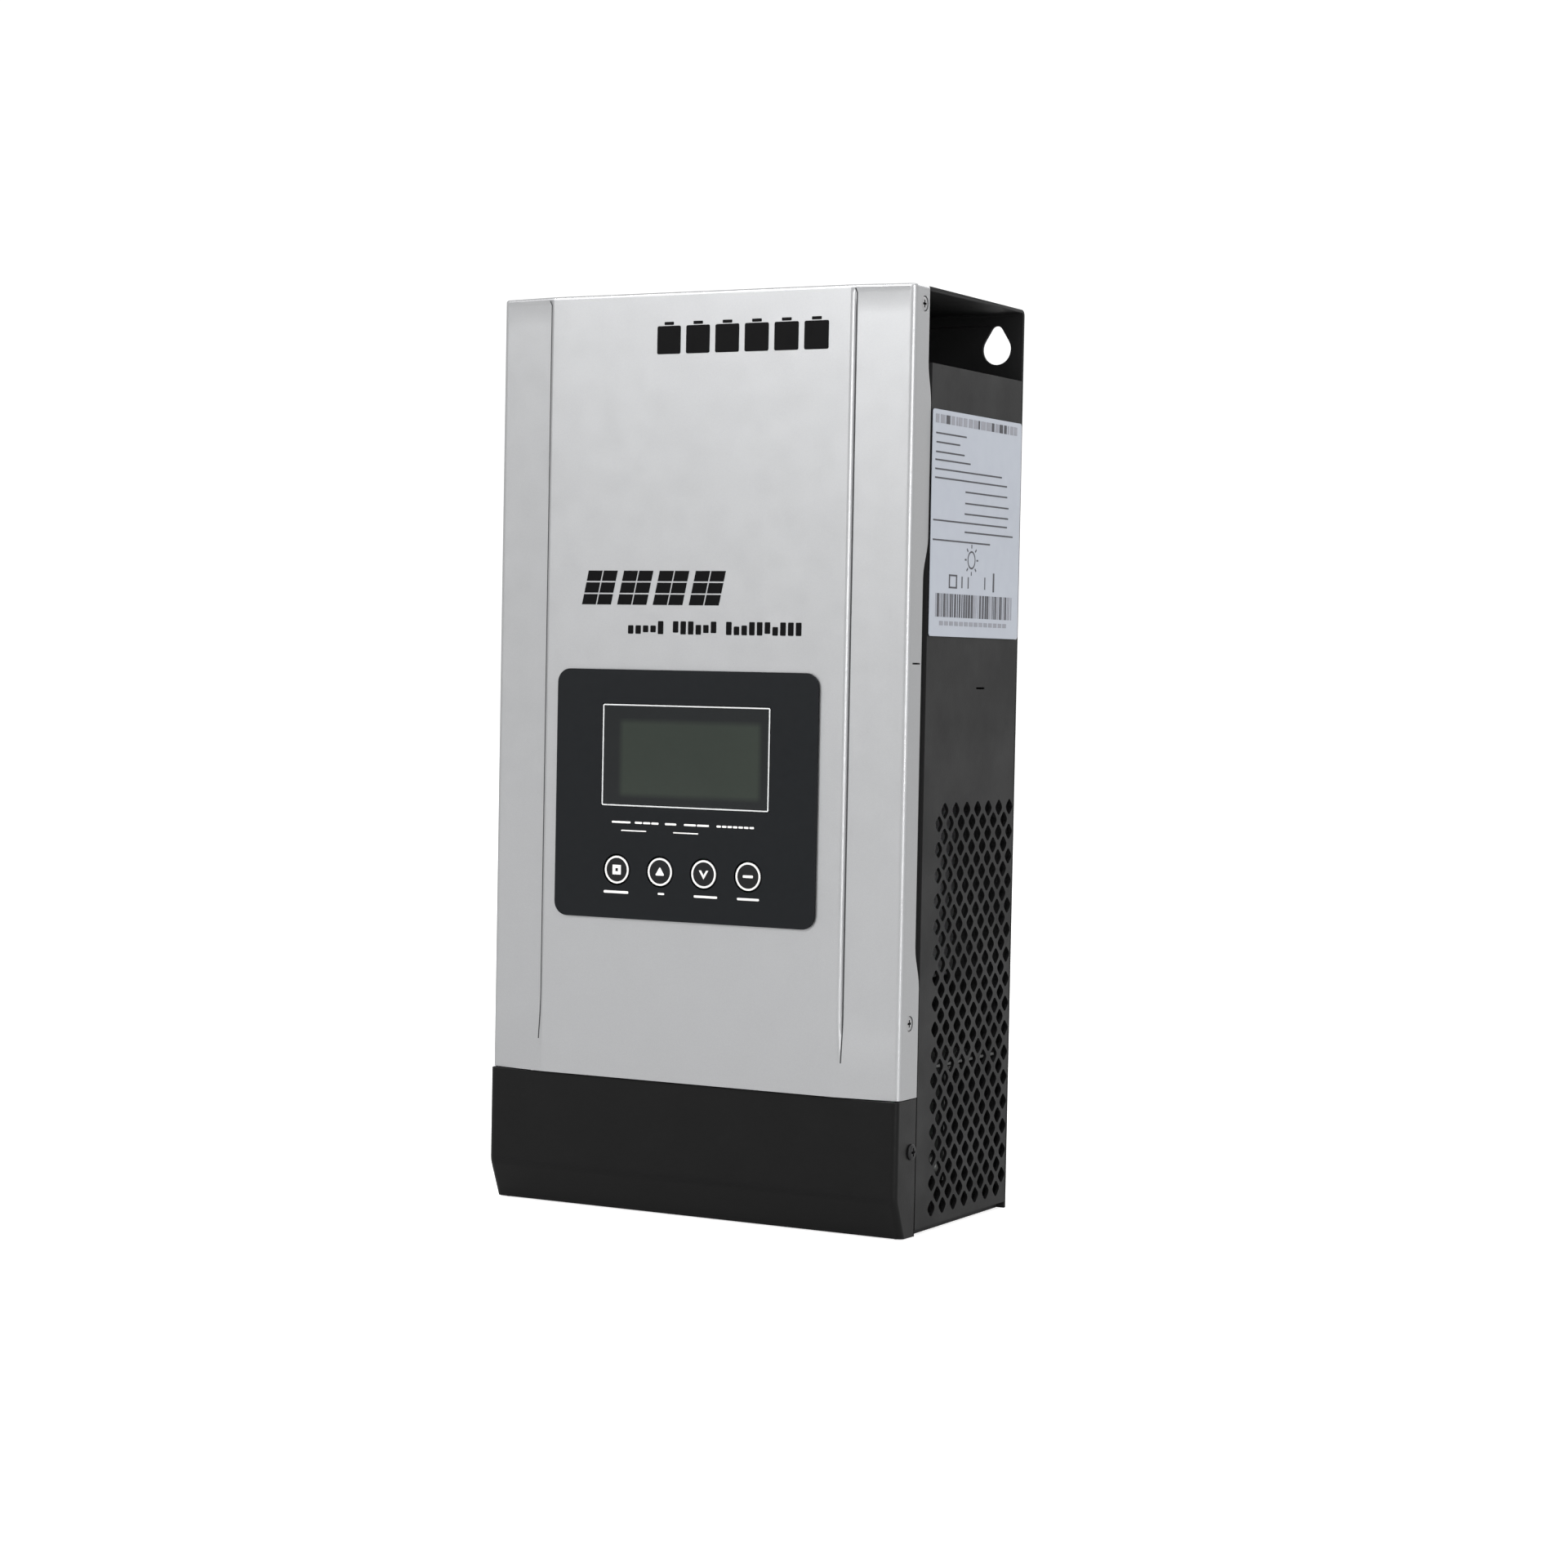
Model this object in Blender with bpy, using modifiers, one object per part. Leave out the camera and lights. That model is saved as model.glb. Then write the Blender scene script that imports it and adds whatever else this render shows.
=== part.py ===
"""Wall-mounted solar charge controller, built as separate pieces.

Metres, +Z up.  The origin is on the surface it stands on, under the middle of the case.
The display faces -Y, the wall side is +Y, and +X is to the right when seen from the front.
"""

from math import acos, cos, pi, radians, sin

import bmesh
import bpy
from mathutils import Matrix, Vector

# Case
HEIGHT = 0.325
WIDTH = 0.165
DEPTH = 0.0932            # display face to wall face
SHEET = 0.0012            # folded steel of the chassis and both covers
GAP = 0.0003              # air between pieces that touch
BEND_RADIUS = 0.0022      # outside radius of a folded corner
BEND_STEPS = 4

# Front cover: a flat middle between two strips that fold back a little
BEZEL_PROUD = 0.001
STRIP_WIDTH = 0.0233
STRIP_SETBACK = 0.0029
COVER_BOTTOM = 0.0483
RETURN_DEPTH = 0.0165     # side returns, from the flat middle
NOTCH_DEPTH = 0.0034      # finger notch in the rear edge of each return
NOTCH_BOTTOM = 0.086
NOTCH_BELOW_BODY_TOP = 0.0594
NOTCH_RAMP = 0.014
TOP_FLANGE = 0.0140

# Terminal cover: flat front, with a lower band that slopes back
TERMINAL_SETBACK = 0.0015
BAND_HEIGHT = 0.0141
BAND_SETBACK = 0.0058
FLOOR_CLEARANCE = 0.0004
BAND_CLEARANCE = 0.0012   # from the band to the chassis behind it

# Chassis
JOGGLE_RUN = 0.0003       # length of the step down from a side panel's skin to its front flange
FLANGE_FRONT = 0.0050     # front edge of the flanges that the covers close over
PANEL_BOTTOM = 0.0024
RECESS_HEIGHT = 0.0256    # open channel across the top, for the wall hooks
EAR_DEPTH = 0.0088
EAR_HEIGHT = 0.012
BOTTOM_FRONT = 0.0094
BOTTOM_LEVEL = 0.0036     # upper face of the bottom panel
TOP_LIP = 0.010

# Keyholes in the back plate
KEYHOLE_FROM_SIDE = 0.0104
KEYHOLE_BELOW_TOP = 0.0139
KEYHOLE_HEAD_RADIUS = 0.0055
KEYHOLE_NECK_RADIUS = 0.0023
KEYHOLE_RISE = 0.0061

# Side vents: staggered square holes standing on a corner
VENT_PITCH = 0.0089
VENT_HALF_DIAGONAL = 0.0032
VENT_FRONT = 0.0320
VENT_BOTTOM = 0.0130
VENT_COLUMNS = 7
VENT_ROWS = 8

# Exhaust slots in the body's top panel
SLOT_LENGTH = 0.030
SLOT_WIDTH = 0.0032
SLOT_PITCH = 0.0110
SLOT_COUNT = 11

# Display
BEZEL_WIDTH = 0.1052
BEZEL_HEIGHT = 0.0880
BEZEL_CENTRE = (-0.0019, 0.1490)
WINDOW_OFFSET = (0.0002, 0.01375)         # from the bezel's centre
BUTTON_OFFSET = (-0.00025, -0.0268)       # middle of the row, from the bezel's centre
BEZEL_CORNER = 0.0050
BEZEL_LAP = 0.0024        # how far the bezel's rim laps over the cover
BEZEL_BEHIND = 0.0028     # how far it stands behind the cover's sheet
WINDOW_WIDTH = 0.0674
WINDOW_HEIGHT = 0.0359
WINDOW_THICKNESS = 0.0012
WINDOW_RECESS = 0.0002
WINDOW_LEDGE = 0.0026
MODULE_THICKNESS = 0.0080
MODULE_BORDER = 0.0035
BOARD = 0.0016
BOARD_BORDER = 0.0036
POST_RADIUS = 0.0024

# Buttons
BUTTON_NAMES = ("menu", "up", "down", "enter")
BUTTON_PITCH = 0.0177
BUTTON_RADIUS = 0.0053
BUTTON_COLLAR = 0.0007
BUTTON_COLLAR_THICKNESS = 0.0010
BUTTON_STEM_RADIUS = 0.0015
BUTTON_TRAVEL = 0.0008
BUTTON_SINK = 0.0001
RUNNING_CLEARANCE = 0.0003
SWITCH_SIZE = 0.0060
SWITCH_BODY = 0.0035
SWITCH_PLUNGER = 0.0010
PRESS_MARGIN = 0.0002

# Heatsink and power board
HEATSINK_WIDTH = 0.120
HEATSINK_ABOVE_FAN = 0.0065
HEATSINK_TOP_ROOM = 0.0354
HEATSINK_BASE = 0.005
FIN_DEPTH = 0.026
FIN_THICKNESS = 0.002
FIN_COUNT = 11
STANDOFF_LENGTH = 0.012
STANDOFF_RADIUS = 0.003
POWER_BOARD_WIDTH = 0.132
POWER_BOARD_RAISE = 0.004 # board's lower edge above the heatsink's
POWER_BOARD_TOP_ROOM = 0.0154
POWER_BOARD_EDGE = 0.022  # standoffs, from the board's ends
POWER_BOARD_SIDE = 0.012  # standoffs, from the board's sides
CAPACITOR_RADIUS = 0.0095
CAPACITOR_LENGTH = 0.026
CAPACITOR_PITCH = 0.0245
CAPACITOR_DROP = 0.022    # below the board's upper edge
INDUCTOR_RING = 0.0145
INDUCTOR_TUBE = 0.0070
INDUCTOR_DROP = 0.0415    # below the capacitors
INDUCTOR_SPACING = 0.060
TRANSISTOR_SIZE = (0.016, 0.005, 0.021)
TRANSISTOR_PITCH = 0.028
TRANSISTOR_RAISE = 0.066  # above the heatsink's lower edge
LEAD_WIDTH = 0.0012
LEAD_PITCH = 0.0048
LEAD_DROP = 0.004

# Wiring compartment
SHELF_LEVEL = 0.0572      # upper face of the shelf over the wiring
SHELF_MARGIN = 0.0025     # shelf in front of the fan
BRACKET_FACE = 0.0        # front face of the bracket that carries the terminals
BRACKET_HEIGHT = 0.040
BRACKET_TAB = 0.012
BRACKET_OPENING_MARGIN = 0.003    # each side of the fan
BLOCK_INSET = 0.0118      # from the left side panel's flange
BLOCK_WAY = 0.021
BLOCK_WAYS = 4
BLOCK_DEPTH = 0.030
BLOCK_BOTTOM = 0.022
BLOCK_HEIGHT = 0.030
WIRE_HOLE_RADIUS = 0.005
WIRE_HOLE_DEPTH = 0.022
WIRE_HOLE_BACK = 0.0162   # from the block's rear face
CLAMP_LEVEL = 0.014       # clamp screws, above the block's bottom
CLAMP_RADIUS = 0.0036
CLAMP_LENGTH = 0.0072
CLAMP_SINK = 0.001
GROMMET_BORE = (0.0095, 0.0095, 0.0060)
GROMMET_WALL = 0.0025
GROMMET_LIP = 0.0030
GROMMET_LIP_THICKNESS = 0.0015

# Low-voltage connectors on their own small board
INTERFACE_SPACING = 0.005 # from the block
INTERFACE_WIDTH = 0.0475
INTERFACE_BOTTOM = 0.017
INTERFACE_HEIGHT = 0.033
INTERFACE_STANDOFF = 0.004
COMMS_SIZE = (0.016, 0.0135, 0.0150)
COMMS_MOUTH = (0.0118, 0.0085, 0.0110)
RELAY_SIZE = (0.0150, 0.0110, 0.0120)
SENSOR_SIZE = (0.0080, 0.0080, 0.0100)
SENSOR_MOUTH = (0.0052, 0.0052, 0.0060)
CONNECTOR_SPACING = 0.0025

GROUND_INSET = 0.0052

# Fan
FAN_SIZE = 0.060
FAN_THICKNESS = 0.020
FAN_WALL_GAP = 0.0010
FAN_WALL = 0.0015
FAN_TIP_CLEARANCE = 0.0013
FAN_HUB = 0.0125
FAN_STRUT = 0.0030
FAN_AXLE = 0.0020
FAN_BORE = 0.0025
FAN_BLADES = 7
FAN_BLADE_THICKNESS = 0.0010
FAN_BLADE_PITCH = radians(38)

# Screws
UPPER_SCREW = (0.0104, 0.0063)    # back from the flat middle, below the top
LOWER_SCREW = (0.0099, 0.0259)    # back from the flat middle, above the cover's lower edge
COVER_HEAD_RADIUS = 0.0026
TERMINAL_SCREW_SPOT = (0.0129, 0.0299)
TERMINAL_HEAD_RADIUS = 0.0028
TERMINAL_HEAD = 0.0009
SHANK_RADIUS = 0.0014
SHANK_LENGTH = 0.0060

# Rating label on the right side panel
LABEL_WIDTH = 0.0730
LABEL_HEIGHT = 0.0775
LABEL_BELOW_BODY_TOP = 0.0154
LABEL_THICKNESS = 0.0002

# Places that follow from the sizes above
SIDE = WIDTH / 2
REAR = DEPTH / 2
FACE = -DEPTH / 2
MIDDLE = FACE + BEZEL_PROUD              # front of the cover's flat middle
BACK_INNER = REAR - SHEET - GAP
TUCK = SHEET + GAP                       # step that lets a flange slip under a cover
STEP_FRONT = MIDDLE + RETURN_DEPTH + GAP
SKIN_FRONT = STEP_FRONT + JOGGLE_RUN     # front edge of the side panels' outer skin
CREASE = SIDE - STRIP_WIDTH
BODY_TOP = HEIGHT - RECESS_HEIGHT
NOTCH_TOP = BODY_TOP - NOTCH_BELOW_BODY_TOP
COVER_SCREW_SPOTS = (
    (UPPER_SCREW[0], HEIGHT - UPPER_SCREW[1]), (LOWER_SCREW[0], COVER_BOTTOM + LOWER_SCREW[1]),
)
WINDOW_CENTRE = tuple(at + by for at, by in zip(BEZEL_CENTRE, WINDOW_OFFSET))
BUTTON_CENTRE = tuple(at + by for at, by in zip(BEZEL_CENTRE, BUTTON_OFFSET))
BEZEL_REAR = MIDDLE + SHEET + BEZEL_BEHIND
MODULE_FRONT = BEZEL_REAR + GAP
DISPLAY_BOARD_FRONT = MODULE_FRONT + MODULE_THICKNESS + GAP
DISPLAY_BOARD_REAR = DISPLAY_BOARD_FRONT + BOARD
HEATSINK_FRONT = BACK_INNER - FIN_DEPTH - HEATSINK_BASE
POWER_BOARD_REAR = HEATSINK_FRONT - STANDOFF_LENGTH
POWER_BOARD_FRONT = POWER_BOARD_REAR - BOARD
BLOCK_REAR = BRACKET_FACE - GAP
BLOCK_LEFT = -(SIDE - TUCK - SHEET) + BLOCK_INSET
INTERFACE_LEFT = BLOCK_LEFT + BLOCK_WAY * BLOCK_WAYS + INTERFACE_SPACING
GROMMET_Y = BLOCK_REAR - WIRE_HOLE_BACK
GROMMET_X = (BLOCK_LEFT + BLOCK_WAY, BLOCK_LEFT + 3 * BLOCK_WAY, INTERFACE_LEFT + INTERFACE_WIDTH / 2)
BRACKET_TOP = SHELF_LEVEL - SHEET - GAP
FAN_BOTTOM = SHELF_LEVEL + GAP
FAN_CENTRE = (0.0, BACK_INNER - FAN_WALL_GAP - FAN_SIZE / 2)
FAN_DUCT = FAN_SIZE / 2 - FAN_WALL
FAN_TIP = FAN_DUCT - FAN_TIP_CLEARANCE
HEATSINK_BOTTOM = FAN_BOTTOM + FAN_THICKNESS + HEATSINK_ABOVE_FAN
HEATSINK_TOP = BODY_TOP - HEATSINK_TOP_ROOM
POWER_BOARD_BOTTOM = HEATSINK_BOTTOM + POWER_BOARD_RAISE
POWER_BOARD_TOP = BODY_TOP - POWER_BOARD_TOP_ROOM
CAPACITOR_LEVEL = POWER_BOARD_TOP - CAPACITOR_DROP
INDUCTOR_LEVEL = CAPACITOR_LEVEL - INDUCTOR_DROP
TRANSISTOR_LEVEL = HEATSINK_BOTTOM + TRANSISTOR_RAISE

# Linear colour, roughness, metallic
FINISHES = {
    "silver_paint": ((0.56, 0.565, 0.575), 0.42, 0.55),
    "black_paint": ((0.022, 0.022, 0.023), 0.5, 0.0),
    "grey_paint": ((0.055, 0.055, 0.057), 0.5, 0.1),
    "zinc_plate": ((0.60, 0.60, 0.58), 0.35, 0.9),
    "bezel_plastic": ((0.020, 0.022, 0.026), 0.35, 0.0),
    "lcd_glass": ((0.045, 0.055, 0.047), 0.1, 0.0),
    "module_plastic": ((0.35, 0.36, 0.36), 0.5, 0.0),
    "circuit_board": ((0.01, 0.09, 0.03), 0.45, 0.0),
    "button_plastic": ((0.018, 0.020, 0.023), 0.4, 0.0),
    "switch_metal": ((0.5, 0.5, 0.5), 0.4, 0.8),
    "ribbon": ((0.35, 0.36, 0.38), 0.5, 0.0),
    "aluminium": ((0.70, 0.71, 0.72), 0.35, 1.0),
    "capacitor_sleeve": ((0.015, 0.02, 0.05), 0.35, 0.0),
    "copper_winding": ((0.55, 0.22, 0.08), 0.3, 0.9),
    "epoxy": ((0.02, 0.02, 0.02), 0.5, 0.0),
    "terminal_plastic": ((0.03, 0.03, 0.03), 0.45, 0.0),
    "green_plastic": ((0.03, 0.22, 0.06), 0.4, 0.0),
    "nickel_screw": ((0.62, 0.62, 0.63), 0.3, 0.95),
    "black_screw": ((0.03, 0.03, 0.03), 0.35, 0.6),
    "rubber": ((0.015, 0.015, 0.015), 0.8, 0.0),
    "fan_plastic": ((0.02, 0.02, 0.021), 0.5, 0.0),
    "label_film": ((0.47, 0.49, 0.54), 0.45, 0.0),
}

groups = {}


def clear_scene():
    """Empties the scene."""
    for item in list(bpy.data.objects):
        bpy.data.objects.remove(item, do_unlink=True)


def start_group(key, name):
    """A collection linked to the scene."""
    groups[key] = bpy.data.collections.new(name)
    bpy.context.scene.collection.children.link(groups[key])


def finish_of(name, finish):
    """The piece's own material."""
    colour, roughness, metallic = FINISHES[finish]
    made = bpy.data.materials.new(name + "_" + finish)
    made.use_nodes = True
    shader = made.node_tree.nodes["Principled BSDF"]
    shader.inputs["Base Color"].default_value = (*colour, 1.0)
    shader.inputs["Roughness"].default_value = roughness
    shader.inputs["Metallic"].default_value = metallic
    return made


def piece(name, shape, finish):
    """A sub-part from a bmesh, in the object's collection."""
    made = bpy.data.objects.new(name, mesh_from(name, shape))
    made.data.materials.append(finish_of(name, finish))
    groups["parts"].objects.link(made)
    return made


def cutter(name, shape):
    """A tool shape, kept out of the render."""
    made = bpy.data.objects.new(name, mesh_from(name, shape))
    made.display_type = "WIRE"
    made.hide_render = True
    groups["cutters"].objects.link(made)
    return made


def mesh_from(name, shape):
    bmesh.ops.recalc_face_normals(shape, faces=shape.faces)
    mesh = bpy.data.meshes.new(name)
    shape.to_mesh(mesh)
    shape.free()
    return mesh


def boolean(target, tool, operation):
    step = target.modifiers.new(tool.name, "BOOLEAN")
    step.operation = operation
    step.solver = "EXACT"
    step.object = tool


def cut(target, name, shape):
    boolean(target, cutter(name, shape), "DIFFERENCE")


def join(target, name, shape):
    boolean(target, cutter(name, shape), "UNION")


def add_box(shape, low, high):
    """A block between two corners."""
    size = [b - a for a, b in zip(low, high)]
    middle = [(a + b) / 2 for a, b in zip(low, high)]
    place = Matrix.Translation(middle) @ Matrix.Diagonal((*size, 1.0))
    bmesh.ops.create_cube(shape, size=1.0, matrix=place)


def box(low, high):
    shape = bmesh.new()
    add_box(shape, low, high)
    return shape


def add_rod(shape, start, end, radius, sides=16, end_radius=None, turn=0.0):
    """A cylinder or cone between two points."""
    run = Vector(end) - Vector(start)
    place = Matrix.Translation((Vector(start) + Vector(end)) / 2)
    place = place @ run.to_track_quat("Z", "Y").to_matrix().to_4x4() @ Matrix.Rotation(turn, 4, "Z")
    bmesh.ops.create_cone(
        shape, cap_ends=True, segments=sides, radius1=radius,
        radius2=radius if end_radius is None else end_radius, depth=run.length, matrix=place,
    )


def rod(start, end, radius, sides=16, end_radius=None):
    shape = bmesh.new()
    add_rod(shape, start, end, radius, sides, end_radius)
    return shape


PLANES = {
    "XY": Matrix.Identity(4),
    "YZ": Matrix(((0, 0, 1, 0), (1, 0, 0, 0), (0, 1, 0, 0), (0, 0, 0, 1))),
    "XZ": Matrix(((1, 0, 0, 0), (0, 0, -1, 0), (0, 1, 0, 0), (0, 0, 0, 1))),
}
NORMALS = {"XY": Vector((0, 0, 1)), "YZ": Vector((1, 0, 0)), "XZ": Vector((0, 1, 0))}


def slab(outline, plane, low, high):
    """A flat outline in one plane, filled and extruded from low to high along its normal."""
    curve = bpy.data.curves.new("outline", "CURVE")
    curve.dimensions = "2D"
    curve.fill_mode = "BOTH"
    curve.extrude = (high - low) / 2
    spline = curve.splines.new("POLY")
    spline.points.add(len(outline) - 1)
    for point, (u, v) in zip(spline.points, outline):
        point.co = (u, v, 0.0, 1.0)
    spline.use_cyclic_u = True
    guide = bpy.data.objects.new("outline", curve)
    bpy.context.scene.collection.objects.link(guide)
    filled = guide.evaluated_get(bpy.context.evaluated_depsgraph_get())
    mesh = bpy.data.meshes.new_from_object(filled)
    shape = bmesh.new()
    shape.from_mesh(mesh)
    bmesh.ops.remove_doubles(shape, verts=shape.verts, dist=1e-6)
    bmesh.ops.transform(shape, matrix=PLANES[plane], verts=shape.verts)
    bmesh.ops.translate(shape, vec=NORMALS[plane] * (low + high) / 2, verts=shape.verts)
    bpy.data.objects.remove(guide, do_unlink=True)
    bpy.data.curves.remove(curve)
    bpy.data.meshes.remove(mesh)
    return shape


def rounded(corners, radius, closed=False, steps=BEND_STEPS):
    """A run of corners with an arc of that radius at each one that turns."""
    points = []
    count = len(corners)
    for index, corner in enumerate(corners):
        here = Vector(corner)
        if not closed and index in (0, count - 1):
            points.append(tuple(here))
            continue
        back = (Vector(corners[index - 1]) - here).normalized()
        ahead = (Vector(corners[(index + 1) % count]) - here).normalized()
        half = back.angle(ahead) / 2
        centre = here + (back + ahead).normalized() * radius / sin(half)
        first = here + back * radius / (sin(half) / cos(half)) - centre
        sweep = first.angle_signed(here + ahead * radius / (sin(half) / cos(half)) - centre)
        for step in range(steps + 1):
            angle = -sweep * step / steps
            turned_arm = Matrix.Rotation(angle, 2) @ first
            points.append(tuple(centre + turned_arm))
    return points


def strip(path, thickness):
    """The closed outline of a bent strip: its outer path, and the path one thickness to its left."""
    inner = []
    for index, point in enumerate(path):
        here = Vector(point)
        before = (here - Vector(path[index - 1])).normalized() if index else None
        after = (Vector(path[index + 1]) - here).normalized() if index < len(path) - 1 else None
        if before is None or after is None:
            along = after or before
            inner.append(here + Vector((-along.y, along.x)) * thickness)
            continue
        left = Vector((-(before + after).y, (before + after).x)).normalized()
        stretch = cos(before.angle(after) / 2)
        inner.append(here + left * thickness / stretch)
    return list(path) + [tuple(point) for point in reversed(inner)]


def rectangle(centre, width, height, radius=0.0, steps=4):
    """A rectangle's outline, with round corners if a radius is given."""
    u, v = centre
    corners = [
        (u - width / 2, v - height / 2), (u + width / 2, v - height / 2),
        (u + width / 2, v + height / 2), (u - width / 2, v + height / 2),
    ]
    return rounded(corners, radius, True, steps) if radius else corners


def turned(name, profile, base, direction, finish, steps=16, closed=False):
    """A turned piece: radius and height along its axis, listed from the top down its outer side."""
    shape = bmesh.new()
    ring = [shape.verts.new((radius, 0.0, height)) for radius, height in profile]
    for start, end in zip(ring, ring[1:]):
        shape.edges.new((start, end))
    if closed:
        shape.edges.new((ring[-1], ring[0]))
    mesh = bpy.data.meshes.new(name)
    shape.to_mesh(mesh)
    shape.free()
    made = bpy.data.objects.new(name, mesh)
    made.data.materials.append(finish_of(name, finish))
    groups["parts"].objects.link(made)
    made.location = base
    made.rotation_mode = "QUATERNION"
    made.rotation_quaternion = Vector(direction).to_track_quat("Z", "Y")
    screw = made.modifiers.new("turn", "SCREW")
    screw.axis = "Z"
    screw.angle = 2 * pi
    screw.steps = steps
    screw.render_steps = steps
    screw.use_merge_vertices = True
    screw.merge_threshold = 1e-5
    return made


def move_origin(made, spot):
    """Puts a piece's origin on its joint without moving its shape."""
    made.data.transform(Matrix.Translation(-Vector(spot)))
    made.location = spot


# ---------------------------------------------------------------- casing


def cover_path(rear, inset=0.0):
    """Plan of the front cover from its left rear edge round to its right one, at or inside its face."""
    half = SIDE - inset
    front = MIDDLE + inset
    corners = [
        (-half, MIDDLE + rear), (-half, front + STRIP_SETBACK), (half, front + STRIP_SETBACK),
        (half, MIDDLE + rear),
    ]
    bends = rounded(corners, BEND_RADIUS)
    left_bend = len(bends) // 2
    creases = [(-CREASE, front), (CREASE, front)]
    return bends[:left_bend] + creases + bends[left_bend:]


def front_cover():
    cover = piece(
        "front_cover", slab(strip(cover_path(RETURN_DEPTH), SHEET), "XY", COVER_BOTTOM, HEIGHT),
        "silver_paint",
    )
    join(cover, "cover_top_flange", slab(cover_path(TOP_FLANGE, SHEET / 2), "XY", HEIGHT - SHEET, HEIGHT))
    deep = MIDDLE + RETURN_DEPTH
    notch = [
        (deep + GAP, NOTCH_BOTTOM), (deep - NOTCH_DEPTH, NOTCH_BOTTOM + NOTCH_RAMP),
        (deep - NOTCH_DEPTH, NOTCH_TOP - NOTCH_RAMP), (deep + GAP, NOTCH_TOP),
    ]
    cut(cover, "finger_notches", slab(notch, "YZ", -WIDTH, WIDTH))
    top_trim = [
        (MIDDLE + TOP_FLANGE, BODY_TOP), (deep + GAP, BODY_TOP - NOTCH_RAMP),
        (deep + GAP, HEIGHT + GAP), (MIDDLE + TOP_FLANGE, HEIGHT + GAP),
    ]
    cut(cover, "return_top_trim", slab(top_trim, "YZ", -WIDTH, WIDTH))
    opening = rectangle(
        BEZEL_CENTRE, BEZEL_WIDTH - 2 * BEZEL_LAP + 2 * GAP, BEZEL_HEIGHT - 2 * BEZEL_LAP + 2 * GAP,
        BEZEL_CORNER - BEZEL_LAP + GAP,
    )
    cut(cover, "display_opening", slab(opening, "XZ", MIDDLE - SHEET, MIDDLE + 2 * SHEET))
    holes = bmesh.new()
    for hand in (-1, 1):
        for back, level in COVER_SCREW_SPOTS:
            outer = (hand * (SIDE + GAP), MIDDLE + back, level)
            inner = (hand * (SIDE - SHEET - GAP), MIDDLE + back, level)
            add_rod(holes, outer, inner, COVER_HEAD_RADIUS + 2 * GAP, 12, SHANK_RADIUS)
    cut(cover, "cover_screw_holes", holes)


def terminal_cover():
    front = MIDDLE + TERMINAL_SETBACK
    rear = MIDDLE + RETURN_DEPTH
    corners = [(-SIDE, rear), (-SIDE, front), (SIDE, front), (SIDE, rear)]
    outline = strip(rounded(corners, BEND_RADIUS), SHEET)
    top = COVER_BOTTOM - GAP
    shape = slab(outline, "XY", BAND_HEIGHT, top)
    shape.faces.ensure_lookup_table()
    lower = [face for face in shape.faces if all(v.co.z < BAND_HEIGHT + GAP for v in face.verts)]
    grown = bmesh.ops.extrude_face_region(shape, geom=lower)
    bmesh.ops.delete(shape, geom=lower, context="FACES_ONLY")
    band = [item for item in grown["geom"] if isinstance(item, bmesh.types.BMVert)]
    bmesh.ops.translate(shape, vec=(0, 0, FLOOR_CLEARANCE - BAND_HEIGHT), verts=band)
    sloped = [vert for vert in band if vert.co.y < rear - GAP]
    bmesh.ops.translate(shape, vec=(0, BAND_SETBACK, 0), verts=sloped)
    bmesh.ops.triangulate(shape, faces=shape.faces)
    cover = piece("terminal_cover", shape, "black_paint")
    back, level = TERMINAL_SCREW_SPOT
    slots = bmesh.new()
    slot = SHANK_RADIUS + RUNNING_CLEARANCE
    for hand in (-1, 1):
        low, high = sorted((hand * (SIDE + GAP), hand * (SIDE - SHEET - GAP)))
        add_box(
            slots, (low, MIDDLE + back - slot, level - slot), (high, rear + GAP, level + slot),
        )
    cut(cover, "terminal_screw_slots", slots)
    move_origin(cover, (0, front, COVER_BOTTOM / 2))


def keyhole(side):
    """A teardrop: a round head below with a narrow neck above it."""
    spread = acos((KEYHOLE_HEAD_RADIUS - KEYHOLE_NECK_RADIUS) / KEYHOLE_RISE)
    centre_u = side * (SIDE - KEYHOLE_FROM_SIDE)
    centre_v = HEIGHT - KEYHOLE_BELOW_TOP
    steps = 6
    points = []
    for step in range(steps + 1):
        angle = pi / 2 - spread + 2 * spread * step / steps
        points.append(
            (centre_u + KEYHOLE_NECK_RADIUS * cos(angle),
             centre_v + KEYHOLE_RISE + KEYHOLE_NECK_RADIUS * sin(angle)))
    wide = 2 * steps
    for step in range(wide + 1):
        angle = pi / 2 + spread + (2 * pi - 2 * spread) * step / wide
        points.append(
            (centre_u + KEYHOLE_HEAD_RADIUS * cos(angle), centre_v + KEYHOLE_HEAD_RADIUS * sin(angle)))
    return points


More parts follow.
